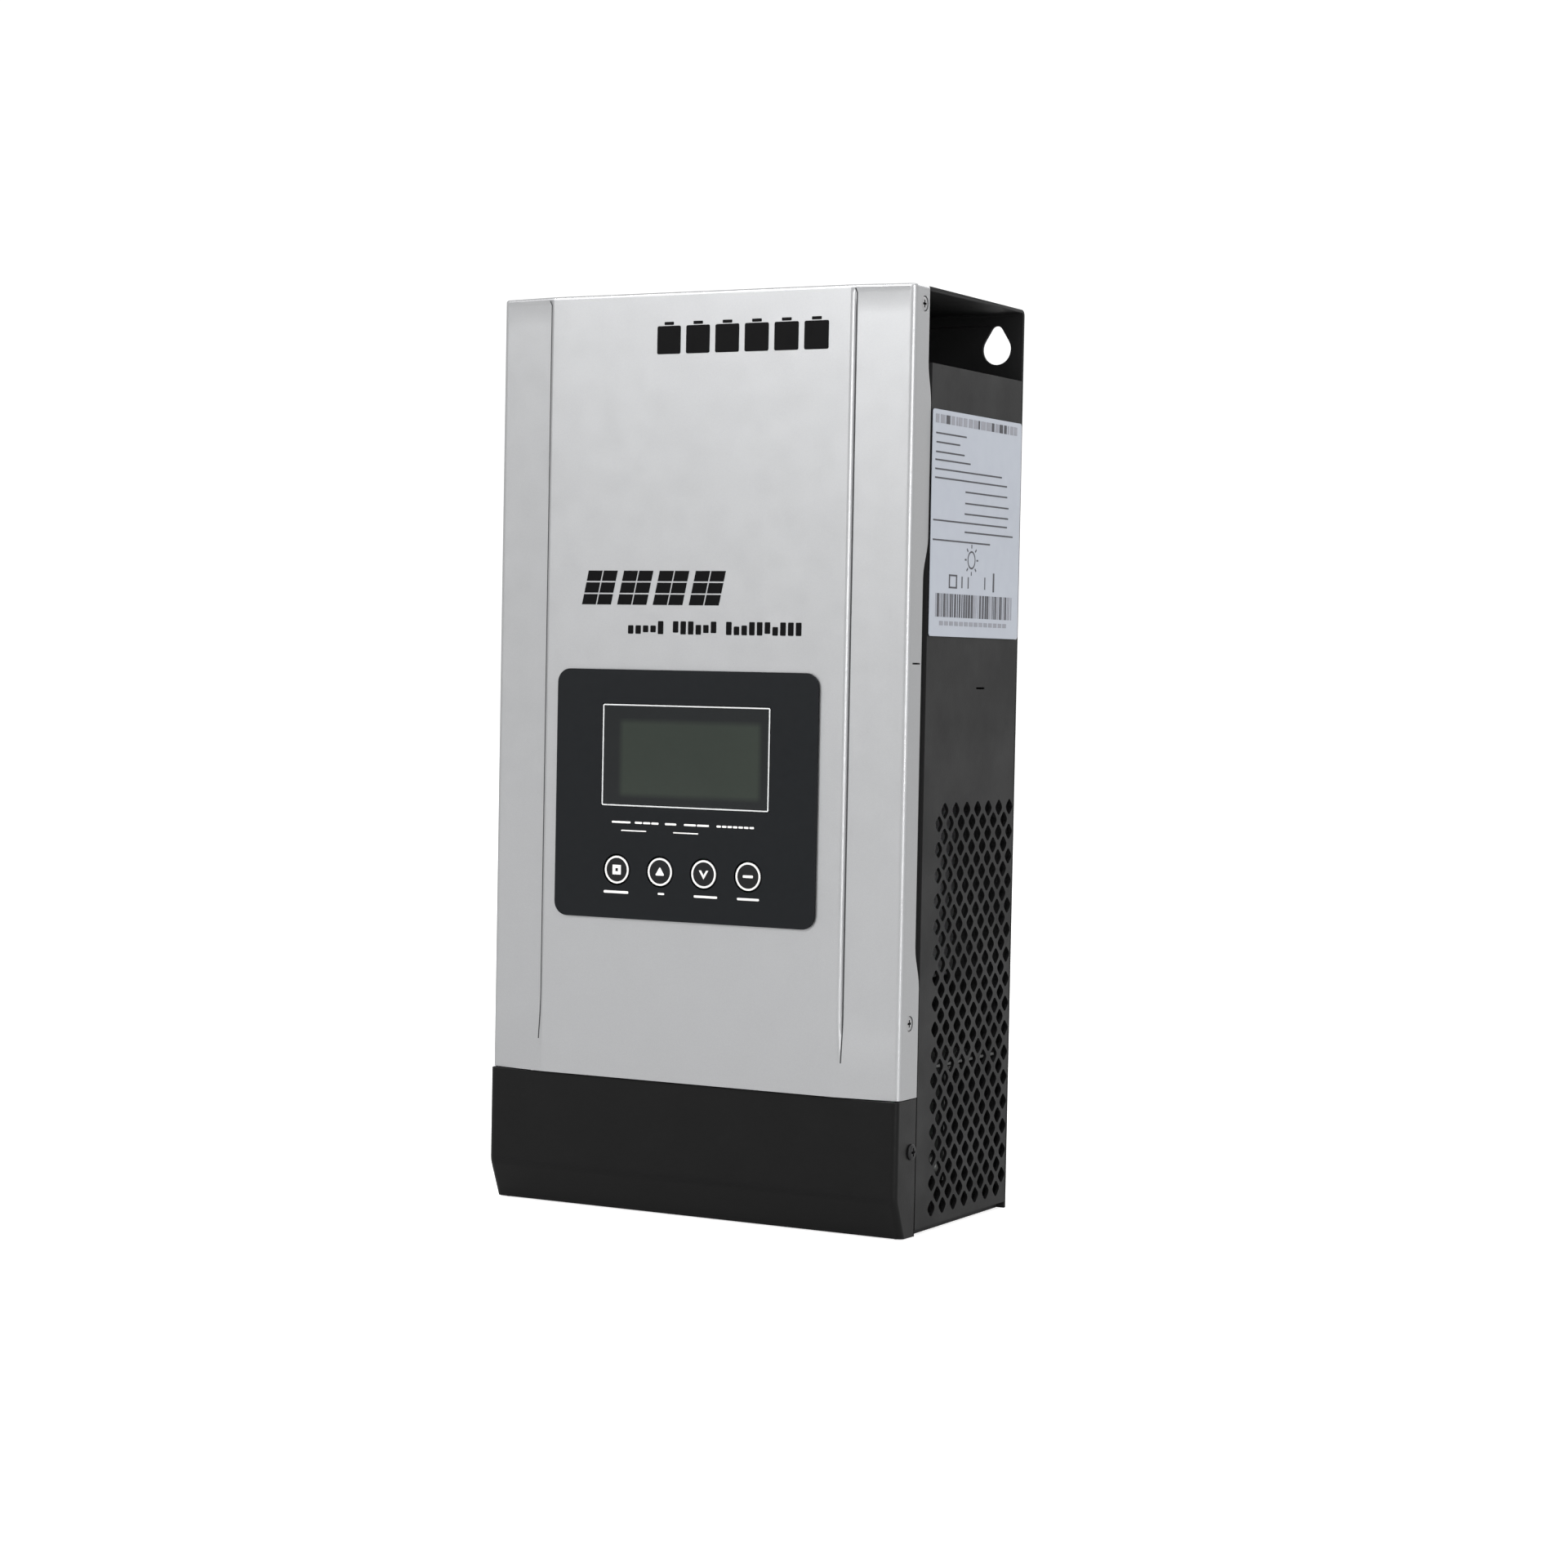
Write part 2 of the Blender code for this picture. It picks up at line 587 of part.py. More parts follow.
def back_plate():
    step_back = MIDDLE + TOP_FLANGE + GAP
    tongue = MIDDLE + FLANGE_FRONT
    outline = [
        (REAR, 0.0), (REAR, HEIGHT), (step_back, HEIGHT), (step_back, HEIGHT - TUCK),
        (tongue, HEIGHT - TUCK), (tongue, HEIGHT - TUCK - SHEET),
        (REAR - SHEET, HEIGHT - TUCK - SHEET), (REAR - SHEET, 0.0),
    ]
    plate = piece("back_plate", slab(outline, "YZ", -SIDE, SIDE), "black_paint")
    inner = SIDE - TUCK
    clear = HEIGHT + SHEET
    under = HEIGHT - TUCK - 2 * SHEET
    sides = bmesh.new()
    add_box(sides, (inner, MIDDLE, under), (SIDE + SHEET, step_back, clear))
    add_box(sides, (-SIDE - SHEET, MIDDLE, under), (-inner, step_back, clear))
    cut(plate, "tongue_sides", sides)
    ears = bmesh.new()
    for hand in (-1, 1):
        low, high = sorted((hand * inner, hand * (inner - SHEET)))
        add_box(
            ears, (low, tongue + GAP, HEIGHT - TUCK - EAR_HEIGHT),
            (high, tongue + EAR_DEPTH, HEIGHT - TUCK - SHEET / 2),
        )
    join(plate, "cover_ears", ears)
    holes = bmesh.new()
    back, level = COVER_SCREW_SPOTS[0]
    for hand in (-1, 1):
        add_rod(
            holes, (hand * SIDE, MIDDLE + back, level), (hand * (inner - 2 * SHEET), MIDDLE + back, level),
            SHANK_RADIUS + GAP, 12,
        )
    cut(plate, "ear_holes", holes)
    for name, side in (("keyhole_left", -1), ("keyhole_right", 1)):
        cut(plate, name, slab(keyhole(side), "XZ", REAR - 2 * SHEET, REAR + SHEET))


def side_path():
    """Plan of the right side panel's outer face, from its rear edge forward under the covers."""
    return [
        (SIDE, BACK_INNER), (SIDE, SKIN_FRONT),
        (SIDE - TUCK, STEP_FRONT), (SIDE - TUCK, MIDDLE + FLANGE_FRONT),
    ]


def vent_holes(hand):
    holes = bmesh.new()
    for column in range(VENT_COLUMNS):
        for row in range(VENT_ROWS):
            y = MIDDLE + VENT_FRONT + column * VENT_PITCH
            z = VENT_BOTTOM + (2 * row + column % 2) * VENT_PITCH
            add_rod(
                holes, (hand * (SIDE + SHEET), y, z), (hand * (SIDE - 2 * SHEET), y, z),
                VENT_HALF_DIAGONAL, 4,
            )
    return holes


def side_panel(name, hand):
    outline = strip(side_path(), -SHEET)
    outline = [(hand * x, y) for x, y in outline]
    panel = piece(name, slab(outline, "XY", PANEL_BOTTOM, BODY_TOP), "grey_paint")
    cut(panel, name + "_vents", vent_holes(hand))
    holes = bmesh.new()
    for back, level in (COVER_SCREW_SPOTS[1], TERMINAL_SCREW_SPOT):
        outer = (hand * SIDE, MIDDLE + back, level)
        inner = (hand * (SIDE - TUCK - 2 * SHEET), MIDDLE + back, level)
        add_rod(holes, outer, inner, SHANK_RADIUS + GAP, 12)
    cut(panel, name + "_screw_holes", holes)
    clear = MIDDLE + TERMINAL_SETBACK + SHEET + BAND_CLEARANCE
    wedge = [
        (MIDDLE, -SHEET), (clear + BAND_SETBACK, -SHEET), (clear + BAND_SETBACK, 0.0),
        (clear, BAND_HEIGHT), (MIDDLE, BAND_HEIGHT),
    ]
    cut(panel, name + "_band_relief", slab(wedge, "YZ", -SIDE, SIDE))


def body_top_panel():
    half = SIDE - TUCK - SHEET - GAP
    path = [
        (-half, BODY_TOP - TOP_LIP), (-half, BODY_TOP), (half, BODY_TOP), (half, BODY_TOP - TOP_LIP),
    ]
    front = MIDDLE + FLANGE_FRONT + GAP
    panel = piece("body_top_panel", slab(strip(path, -SHEET), "XZ", front, BACK_INNER), "black_paint")
    slots = bmesh.new()
    first = -SLOT_PITCH * (SLOT_COUNT - 1) / 2
    slot_front = HEATSINK_FRONT + HEATSINK_BASE
    slot_rear = min(slot_front + SLOT_LENGTH, BACK_INNER - 2 * SHEET)
    for index in range(SLOT_COUNT):
        x = first + index * SLOT_PITCH
        add_box(
            slots, (x - SLOT_WIDTH / 2, slot_front, BODY_TOP - 2 * SHEET),
            (x + SLOT_WIDTH / 2, slot_rear, BODY_TOP + SHEET),
        )
    cut(panel, "exhaust_slots", slots)


def bottom_panel():
    half = SIDE - TUCK - SHEET - GAP
    path = [(-half, 0.0), (-half, BOTTOM_LEVEL), (half, BOTTOM_LEVEL), (half, 0.0)]
    front = MIDDLE + BOTTOM_FRONT
    panel = piece("bottom_panel", slab(strip(path, -SHEET), "XZ", front, BACK_INNER), "black_paint")
    holes = bmesh.new()
    for x, bore in zip(GROMMET_X, GROMMET_BORE):
        low = (x, GROMMET_Y, BOTTOM_LEVEL - 2 * SHEET)
        high = (x, GROMMET_Y, BOTTOM_LEVEL + SHEET)
        add_rod(holes, low, high, bore + GROMMET_WALL + GAP, 24)
    cut(panel, "cable_entries", holes)


def shelf_plate():
    """The floor of the electronics space, with the fan's inlet."""
    half = SIDE - TUCK - SHEET - 2 * GAP
    x, y = FAN_CENTRE
    front = y - FAN_SIZE / 2 - SHELF_MARGIN
    low = (-half, front, SHELF_LEVEL - SHEET)
    shelf = piece("shelf_plate", box(low, (half, BACK_INNER, SHELF_LEVEL)), "zinc_plate")
    cut(shelf, "fan_inlet", rod((x, y, SHELF_LEVEL - 2 * SHEET), (x, y, SHELF_LEVEL + SHEET), FAN_DUCT, 32))


def terminal_bracket():
    """A folded plate that hangs under the shelf and carries the terminals."""
    half = SIDE - TUCK - SHEET - 2 * GAP
    bottom = BRACKET_TOP - BRACKET_HEIGHT
    path = [
        (BRACKET_FACE + BRACKET_TAB, BRACKET_TOP), (BRACKET_FACE, BRACKET_TOP), (BRACKET_FACE, bottom),
    ]
    bracket = piece("terminal_bracket", slab(strip(path, SHEET), "YZ", -half, half), "zinc_plate")
    reach = FAN_SIZE / 2 + BRACKET_OPENING_MARGIN
    opening = box(
        (-reach, BRACKET_FACE + 2 * SHEET, BRACKET_TOP - 2 * SHEET),
        (reach, BRACKET_FACE + 2 * BRACKET_TAB, BRACKET_TOP + SHEET),
    )
    cut(bracket, "air_way", opening)


# ---------------------------------------------------------------- display


def display_bezel():
    rim = rectangle(BEZEL_CENTRE, BEZEL_WIDTH, BEZEL_HEIGHT, BEZEL_CORNER, 6)
    bezel = piece("display_bezel", slab(rim, "XZ", FACE, MIDDLE - GAP), "bezel_plastic")
    body = rectangle(
        BEZEL_CENTRE, BEZEL_WIDTH - 2 * BEZEL_LAP, BEZEL_HEIGHT - 2 * BEZEL_LAP, BEZEL_CORNER - BEZEL_LAP,
    )
    join(bezel, "bezel_body", slab(body, "XZ", FACE + GAP, BEZEL_REAR))
    posts = bmesh.new()
    for x, z in post_spots():
        add_rod(posts, (x, FACE + 2 * GAP, z), (x, DISPLAY_BOARD_FRONT - GAP, z), POST_RADIUS, 12)
    join(bezel, "board_posts", posts)
    seat = rectangle(WINDOW_CENTRE, WINDOW_WIDTH + 2 * GAP, WINDOW_HEIGHT + 2 * GAP)
    seat_depth = WINDOW_RECESS + WINDOW_THICKNESS + GAP
    cut(bezel, "window_seat", slab(seat, "XZ", FACE - SHEET, FACE + seat_depth))
    view = rectangle(WINDOW_CENTRE, WINDOW_WIDTH - 2 * WINDOW_LEDGE, WINDOW_HEIGHT - 2 * WINDOW_LEDGE)
    cut(bezel, "window_view", slab(view, "XZ", FACE, BEZEL_REAR + SHEET))
    holes = bmesh.new()
    z = BUTTON_CENTRE[1]
    bore = BUTTON_RADIUS + RUNNING_CLEARANCE
    for x in button_places():
        add_rod(holes, (x, FACE - SHEET, z), (x, BEZEL_REAR + SHEET, z), bore, 24)
    cut(bezel, "button_holes", holes)


def post_spots():
    """Where the display board's four posts stand."""
    u, v = BEZEL_CENTRE
    across = BEZEL_WIDTH / 2 - BEZEL_LAP - 2 * POST_RADIUS
    up = BEZEL_HEIGHT / 2 - BEZEL_LAP - 2 * POST_RADIUS
    return [(u + a * across, v + b * up) for a in (-1, 1) for b in (-1, 1)]


def button_places():
    first = BUTTON_CENTRE[0] - BUTTON_PITCH * (len(BUTTON_NAMES) - 1) / 2
    return [first + index * BUTTON_PITCH for index in range(len(BUTTON_NAMES))]


def lcd_window():
    outline = rectangle(WINDOW_CENTRE, WINDOW_WIDTH, WINDOW_HEIGHT)
    front = FACE + WINDOW_RECESS
    piece("lcd_window", slab(outline, "XZ", front, front + WINDOW_THICKNESS), "lcd_glass")


def lcd_module():
    outline = rectangle(
        WINDOW_CENTRE, WINDOW_WIDTH + 2 * MODULE_BORDER - 2 * GAP, WINDOW_HEIGHT + 2 * MODULE_BORDER,
    )
    piece("lcd_module", slab(outline, "XZ", MODULE_FRONT, MODULE_FRONT + MODULE_THICKNESS), "module_plastic")


def display_board():
    outline = rectangle(BEZEL_CENTRE, BEZEL_WIDTH - 2 * BOARD_BORDER, BEZEL_HEIGHT - 2 * BOARD_BORDER)
    piece("display_board", slab(outline, "XZ", DISPLAY_BOARD_FRONT, DISPLAY_BOARD_REAR), "circuit_board")


def buttons_and_switches():
    z = BUTTON_CENTRE[1]
    front = FACE + BUTTON_SINK
    collar_front = BEZEL_REAR + GAP
    collar_rear = collar_front + BUTTON_COLLAR_THICKNESS
    switch_front = DISPLAY_BOARD_FRONT - GAP - SWITCH_BODY - SWITCH_PLUNGER
    stem_end = switch_front - BUTTON_TRAVEL - PRESS_MARGIN
    for name, x in zip(BUTTON_NAMES, button_places()):
        profile = [
            (0.0, 0.0), (BUTTON_RADIUS, 0.0), (BUTTON_RADIUS, front - collar_front),
            (BUTTON_RADIUS + BUTTON_COLLAR, front - collar_front),
            (BUTTON_RADIUS + BUTTON_COLLAR, front - collar_rear),
            (BUTTON_STEM_RADIUS, front - collar_rear), (BUTTON_STEM_RADIUS, front - stem_end),
            (0.0, front - stem_end),
        ]
        turned("button_" + name, profile, (x, front, z), (0, -1, 0), "button_plastic", 24)
        half = SWITCH_SIZE / 2
        body_front = switch_front + SWITCH_PLUNGER
        body = box((x - half, body_front, z - half), (x + half, body_front + SWITCH_BODY, z + half))
        switch = piece("switch_" + name, body, "switch_metal")
        tip = (x, switch_front, z)
        join(switch, "plunger_" + name, rod(tip, (x, body_front + GAP, z), SWITCH_SIZE / 4, 12))


def ribbon_cable():
    """A flat cable that droops from the display board back to the power board."""
    start = DISPLAY_BOARD_REAR + GAP
    end = POWER_BOARD_FRONT - GAP
    high = BEZEL_CENTRE[1] - BEZEL_HEIGHT / 2 + 4 * BOARD_BORDER
    drop = 0.016
    sag = 0.006
    steps = 14
    path = []
    for step in range(steps + 1):
        t = step / steps
        blend = (1 - cos(pi * t)) / 2
        path.append((start + (end - start) * t, high - drop * blend - sag * sin(pi * t)))
    thickness = 0.0009
    width = 0.018
    left = BEZEL_CENTRE[0] - width / 2
    piece("ribbon_cable", slab(strip(path, thickness), "YZ", left, left + width), "ribbon")


# ---------------------------------------------------------------- power stage


def heatsink():
    """A comb section: a base plate with fins that point at the wall."""
    half = HEATSINK_WIDTH / 2
    root = HEATSINK_FRONT + HEATSINK_BASE
    pitch = (HEATSINK_WIDTH - FIN_THICKNESS) / (FIN_COUNT - 1)
    outline = [(half, HEATSINK_FRONT), (-half, HEATSINK_FRONT)]
    for index in range(FIN_COUNT):
        left = -half + index * pitch
        if index:
            outline.append((left, root))
        outline.append((left, BACK_INNER))
        outline.append((left + FIN_THICKNESS, BACK_INNER))
        if index < FIN_COUNT - 1:
            outline.append((left + FIN_THICKNESS, root))
    piece("heatsink", slab(outline, "XY", HEATSINK_BOTTOM, HEATSINK_TOP), "aluminium")


def power_board():
    low = (-POWER_BOARD_WIDTH / 2, POWER_BOARD_FRONT, POWER_BOARD_BOTTOM)
    high = (POWER_BOARD_WIDTH / 2, POWER_BOARD_REAR, POWER_BOARD_TOP)
    piece("power_board", box(low, high), "circuit_board")
    across = min(POWER_BOARD_WIDTH, HEATSINK_WIDTH) / 2 - POWER_BOARD_SIDE
    low_level = POWER_BOARD_BOTTOM + POWER_BOARD_EDGE
    high_level = HEATSINK_TOP - POWER_BOARD_EDGE
    spots = [(-across, low_level), (across, low_level), (-across, high_level), (across, high_level)]
    for number, (x, z) in enumerate(spots, 1):
        start = (x, POWER_BOARD_REAR + GAP, z)
        end = (x, HEATSINK_FRONT - GAP, z)
        piece("board_standoff_%d" % number, rod(start, end, STANDOFF_RADIUS, 6), "nickel_screw")


def capacitors():
    first = -1.5 * CAPACITOR_PITCH
    rear = POWER_BOARD_FRONT - GAP
    for index in range(4):
        x = first + index * CAPACITOR_PITCH
        start = (x, rear, CAPACITOR_LEVEL)
        end = (x, rear - CAPACITOR_LENGTH, CAPACITOR_LEVEL)
        piece("capacitor_%d" % (index + 1), rod(start, end, CAPACITOR_RADIUS, 20), "capacitor_sleeve")


def inductors():
    for name, hand in (("inductor_left", -1), ("inductor_right", 1)):
        bpy.ops.mesh.primitive_torus_add(
            major_segments=24, minor_segments=10, major_radius=INDUCTOR_RING, minor_radius=INDUCTOR_TUBE,
        )
        ring = bpy.context.object
        ring.name = name
        middle = POWER_BOARD_FRONT - GAP - INDUCTOR_TUBE
        place = Matrix.Translation((hand * INDUCTOR_SPACING / 2, middle, INDUCTOR_LEVEL))
        ring.data.transform(place @ Matrix.Rotation(pi / 2, 4, "X"))
        ring.data.materials.append(finish_of(name, "copper_winding"))
        for home in list(ring.users_collection):
            home.objects.unlink(ring)
        groups["parts"].objects.link(ring)


def transistors():
    """Power transistors flat on the heatsink, with three leads bent to the board."""
    width, thickness, height = TRANSISTOR_SIZE
    first = -1.5 * TRANSISTOR_PITCH
    rear = HEATSINK_FRONT - GAP
    for index in range(4):
        x = first + index * TRANSISTOR_PITCH
        low = (x - width / 2, rear - thickness, TRANSISTOR_LEVEL)
        high = (x + width / 2, rear, TRANSISTOR_LEVEL + height)
        body = piece("transistor_%d" % (index + 1), box(low, high), "epoxy")
        middle = rear - thickness / 2
        lead = LEAD_WIDTH / 2
        bent = [
            (middle + lead, TRANSISTOR_LEVEL + lead), (middle + lead, TRANSISTOR_LEVEL - LEAD_DROP - lead),
            (POWER_BOARD_REAR + GAP, TRANSISTOR_LEVEL - LEAD_DROP - lead),
            (POWER_BOARD_REAR + GAP, TRANSISTOR_LEVEL - LEAD_DROP + lead),
            (middle - lead, TRANSISTOR_LEVEL - LEAD_DROP + lead), (middle - lead, TRANSISTOR_LEVEL + lead),
        ]
        for number in (-1, 0, 1):
            at = x + number * LEAD_PITCH
            name = "lead_%d_%d" % (index + 1, number + 2)
            join(body, name, slab(bent, "YZ", at - lead, at + lead))


# ---------------------------------------------------------------- cooling


def fan():
    x, y = FAN_CENTRE
    half = FAN_SIZE / 2
    bottom = FAN_BOTTOM
    top = bottom + FAN_THICKNESS
    body = slab(rectangle((x, y), FAN_SIZE, FAN_SIZE, 0.004, 3), "XY", bottom, top)
    frame = piece("fan_frame", body, "fan_plastic")
    cut(frame, "fan_duct", rod((x, y, bottom - SHEET), (x, y, top + SHEET), FAN_DUCT, 32))
    hub_top = bottom + FAN_STRUT
    join(frame, "fan_hub", rod((x, y, bottom), (x, y, hub_top), FAN_HUB, 20))
    struts = bmesh.new()
    for number in range(3):
        angle = radians(90 + 120 * number)
        reach = FAN_DUCT + 0.001
        inner = FAN_HUB - 0.002
        mid = Vector((cos(angle), sin(angle), 0)) * (reach + inner) / 2
        place = Matrix.Translation((x + mid.x, y + mid.y, bottom + FAN_STRUT / 2))
        size = Matrix.Diagonal((reach - inner, FAN_STRUT, FAN_STRUT * 0.8, 1))
        bmesh.ops.create_cube(struts, size=1.0, matrix=place @ Matrix.Rotation(angle, 4, "Z") @ size)
    join(frame, "fan_struts", struts)
    axle_top = top - 2 * FAN_STRUT
    join(frame, "fan_axle", rod((x, y, hub_top - GAP), (x, y, axle_top), FAN_AXLE, 16))

    rotor_bottom = hub_top + 2 * GAP
    rotor_top = top - FAN_STRUT / 2
    hub = rod((x, y, rotor_bottom), (x, y, rotor_top), FAN_HUB, 20)
    rotor = piece("fan_rotor", hub, "fan_plastic")
    blades = bmesh.new()
    chord = rotor_top - rotor_bottom
    for number in range(FAN_BLADES):
        angle = 2 * pi * number / FAN_BLADES
        root = FAN_HUB - 0.0015
        middle = (FAN_TIP + root) / 2
        size = Matrix.Diagonal((FAN_TIP - root, chord, FAN_BLADE_THICKNESS, 1))
        lean = Matrix.Rotation(FAN_BLADE_PITCH, 4, "X")
        place = Matrix.Translation((x, y, (rotor_bottom + rotor_top) / 2)) @ Matrix.Rotation(angle, 4, "Z")
        bmesh.ops.create_cube(
            blades, size=1.0, matrix=place @ Matrix.Translation((middle, 0, 0)) @ lean @ size,
        )
    join(rotor, "fan_blades", blades)
    bore_top = axle_top + 2 * GAP
    cut(rotor, "fan_bore", rod((x, y, rotor_bottom - GAP), (x, y, bore_top), FAN_BORE, 16))
    move_origin(rotor, (x, y, rotor_bottom))


# ---------------------------------------------------------------- wiring


def terminal_block():
    right = BLOCK_LEFT + BLOCK_WAY * BLOCK_WAYS
    front = BLOCK_REAR - BLOCK_DEPTH
    low = (BLOCK_LEFT, front, BLOCK_BOTTOM)
    block = piece(
        "terminal_block", box(low, (right, BLOCK_REAR, BLOCK_BOTTOM + BLOCK_HEIGHT)), "terminal_plastic",
    )
    wires = bmesh.new()
    wells = bmesh.new()
    level = BLOCK_BOTTOM + CLAMP_LEVEL
    for way in range(BLOCK_WAYS):
        x = BLOCK_LEFT + BLOCK_WAY * (way + 0.5)
        add_rod(
            wires, (x, GROMMET_Y, BLOCK_BOTTOM - SHEET), (x, GROMMET_Y, BLOCK_BOTTOM + WIRE_HOLE_DEPTH),
            WIRE_HOLE_RADIUS, 16,
        )
        add_rod(wells, (x, front - SHEET, level), (x, GROMMET_Y, level), CLAMP_RADIUS + GAP, 16)
        head = (x, front + CLAMP_SINK, level)
        profile = [
            (0.0, 0.0), (CLAMP_RADIUS, 0.0), (CLAMP_RADIUS, -CLAMP_LENGTH), (0.0, -CLAMP_LENGTH),
        ]
        screw = turned("clamp_screw_%d" % (way + 1), profile, head, (0, -1, 0), "nickel_screw", 16)
        slot = CLAMP_RADIUS / 4
        kerf = box(
            (x - slot / 2, front, level - 2 * CLAMP_RADIUS),
            (x + slot / 2, front + CLAMP_SINK + 2 * slot, level + 2 * CLAMP_RADIUS),
        )
        cut(screw, "clamp_slot_%d" % (way + 1), kerf)
    cut(block, "wire_holes", wires)
    cut(block, "clamp_wells", wells)


def interface():
    rear = BRACKET_FACE - INTERFACE_STANDOFF
    front = rear - BOARD
    right = INTERFACE_LEFT + INTERFACE_WIDTH
    low = (INTERFACE_LEFT, front, INTERFACE_BOTTOM)
    high = (right, rear, INTERFACE_BOTTOM + INTERFACE_HEIGHT)
    piece("interface_board", box(low, high), "circuit_board")
    face = front - GAP
    sockets = (
        ("comms_port", COMMS_SIZE, COMMS_MOUTH, "module_plastic"),
        ("dry_contact_terminal", RELAY_SIZE, None, "green_plastic"),
        ("temperature_sensor_socket", SENSOR_SIZE, SENSOR_MOUTH, "terminal_plastic"),
    )
    left = INTERFACE_LEFT + CONNECTOR_SPACING
    for name, (wide, deep, tall), mouth, finish in sockets:
        bottom = INTERFACE_BOTTOM + CONNECTOR_SPACING
        made = piece(
            name, box((left, face - deep, bottom), (left + wide, face, bottom + tall)), finish,
        )
        if mouth:
            u = left + wide / 2
            v = face - deep / 2
            hole = box(
                (u - mouth[0] / 2, v - mouth[1] / 2, bottom - SHEET),
                (u + mouth[0] / 2, v + mouth[1] / 2, bottom + mouth[2]),
            )
            cut(made, name + "_mouth", hole)
        left += wide + CONNECTOR_SPACING


def grommets():
    for name, x, bore in zip(("cable_grommet_left", "cable_grommet_middle", "signal_grommet"),
                             GROMMET_X, GROMMET_BORE):
        wall = bore + GROMMET_WALL
        lip = wall + GROMMET_LIP
        above = BOTTOM_LEVEL + GAP
        below = BOTTOM_LEVEL - SHEET - GAP
        profile = [
            (bore, above + GROMMET_LIP_THICKNESS), (lip, above + GROMMET_LIP_THICKNESS), (lip, above),
            (wall, above), (wall, below), (lip, below), (lip, below - GROMMET_LIP_THICKNESS),
            (bore, below - GROMMET_LIP_THICKNESS),
        ]
        turned(name, profile, (x, GROMMET_Y, 0), (0, 0, 1), "rubber", 24, True)


def ground_screw():
    """Earth screw on the terminal bracket."""
    x = SIDE - TUCK - SHEET - GROUND_INSET
    z = BRACKET_TOP - BRACKET_HEIGHT + GROUND_INSET
    y = BRACKET_FACE - GAP
    profile = [(0.0, 0.0045), (0.0028, 0.0045), (0.0035, 0.003), (0.0035, 0.0), (0.0, 0.0)]
    turned("ground_screw", profile, (x, y, z), (0, -1, 0), "nickel_screw", 12)


# ---------------------------------------------------------------- fasteners and label


def cover_screws():
    names = ("upper", "lower")
    for side, hand in (("left", -1), ("right", 1)):
        for name, (back, level) in zip(names, COVER_SCREW_SPOTS):
            profile = [
                (0.0, 0.0), (COVER_HEAD_RADIUS, 0.0), (SHANK_RADIUS, -SHEET),
                (SHANK_RADIUS, -SHANK_LENGTH), (0.0, -SHANK_LENGTH),
            ]
            spot = (hand * SIDE, MIDDLE + back, level)
            turned("cover_screw_%s_%s" % (side, name), profile, spot, (hand, 0, 0), "nickel_screw", 12)
        back, level = TERMINAL_SCREW_SPOT
        head = TERMINAL_HEAD + GAP
        profile = [
            (0.0, head), (TERMINAL_HEAD_RADIUS, head), (TERMINAL_HEAD_RADIUS, GAP), (SHANK_RADIUS, GAP),
            (SHANK_RADIUS, -SHANK_LENGTH), (0.0, -SHANK_LENGTH),
        ]
        spot = (hand * SIDE, MIDDLE + back, level)
        turned("terminal_screw_" + side, profile, spot, (hand, 0, 0), "black_screw", 12)


def rating_label():
    front = SKIN_FRONT + GAP
    top = BODY_TOP - LABEL_BELOW_BODY_TOP
    low = (SIDE + GAP, front, top - LABEL_HEIGHT)
    high = (SIDE + GAP + LABEL_THICKNESS, front + LABEL_WIDTH, top)
    piece("rating_label", box(low, high), "label_film")


def build():
    clear_scene()
    start_group("parts", "charge_controller")
    start_group("cutters", "charge_controller_cutters")
    back_plate()
    side_panel("side_panel_left", -1)
    side_panel("side_panel_right", 1)
    body_top_panel()
    bottom_panel()
    shelf_plate()
    terminal_bracket()
    front_cover()
    terminal_cover()
    display_bezel()
    lcd_window()
    lcd_module()
    display_board()
    buttons_and_switches()
    ribbon_cable()
    heatsink()
    power_board()
    capacitors()
    inductors()
    transistors()
    fan()
    terminal_block()
    interface()
    grommets()
    ground_screw()
    cover_screws()
    rating_label()


build()
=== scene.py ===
"""Looks of a wall-mounted solar charge controller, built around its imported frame.

Metres, +Z up.  The display faces -Y, the wall side is +Y, and +X is to the right seen from the front.
"""

from math import acos, cos, pi, radians, sin
from random import Random

import bmesh
import bpy
from mathutils import Matrix, Vector


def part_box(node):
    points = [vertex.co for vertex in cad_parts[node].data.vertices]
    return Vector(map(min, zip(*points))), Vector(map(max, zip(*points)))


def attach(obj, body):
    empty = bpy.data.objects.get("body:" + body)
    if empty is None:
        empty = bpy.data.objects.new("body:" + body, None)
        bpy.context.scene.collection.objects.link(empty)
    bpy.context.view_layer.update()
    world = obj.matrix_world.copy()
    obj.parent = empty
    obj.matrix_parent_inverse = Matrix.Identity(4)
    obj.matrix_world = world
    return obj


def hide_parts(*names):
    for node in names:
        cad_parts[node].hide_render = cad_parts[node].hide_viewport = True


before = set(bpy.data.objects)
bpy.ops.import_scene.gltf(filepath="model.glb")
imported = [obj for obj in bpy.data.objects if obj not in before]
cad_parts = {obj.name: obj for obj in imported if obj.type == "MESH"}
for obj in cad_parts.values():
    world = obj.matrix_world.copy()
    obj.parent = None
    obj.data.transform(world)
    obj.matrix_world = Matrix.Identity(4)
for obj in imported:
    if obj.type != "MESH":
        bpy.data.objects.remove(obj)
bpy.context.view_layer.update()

# Places from the frame
cover_low, cover_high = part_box("front_cover")
wiring_low, wiring_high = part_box("terminal_cover")
BEZEL = bezel_low, bezel_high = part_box("display_bezel")
WINDOW = window_low, window_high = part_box("lcd_window")
panel_low, panel_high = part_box("side_panel_right")
plate_low, plate_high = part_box("back_plate")
label_low, label_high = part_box("rating_label")
SIDE = cover_high.x
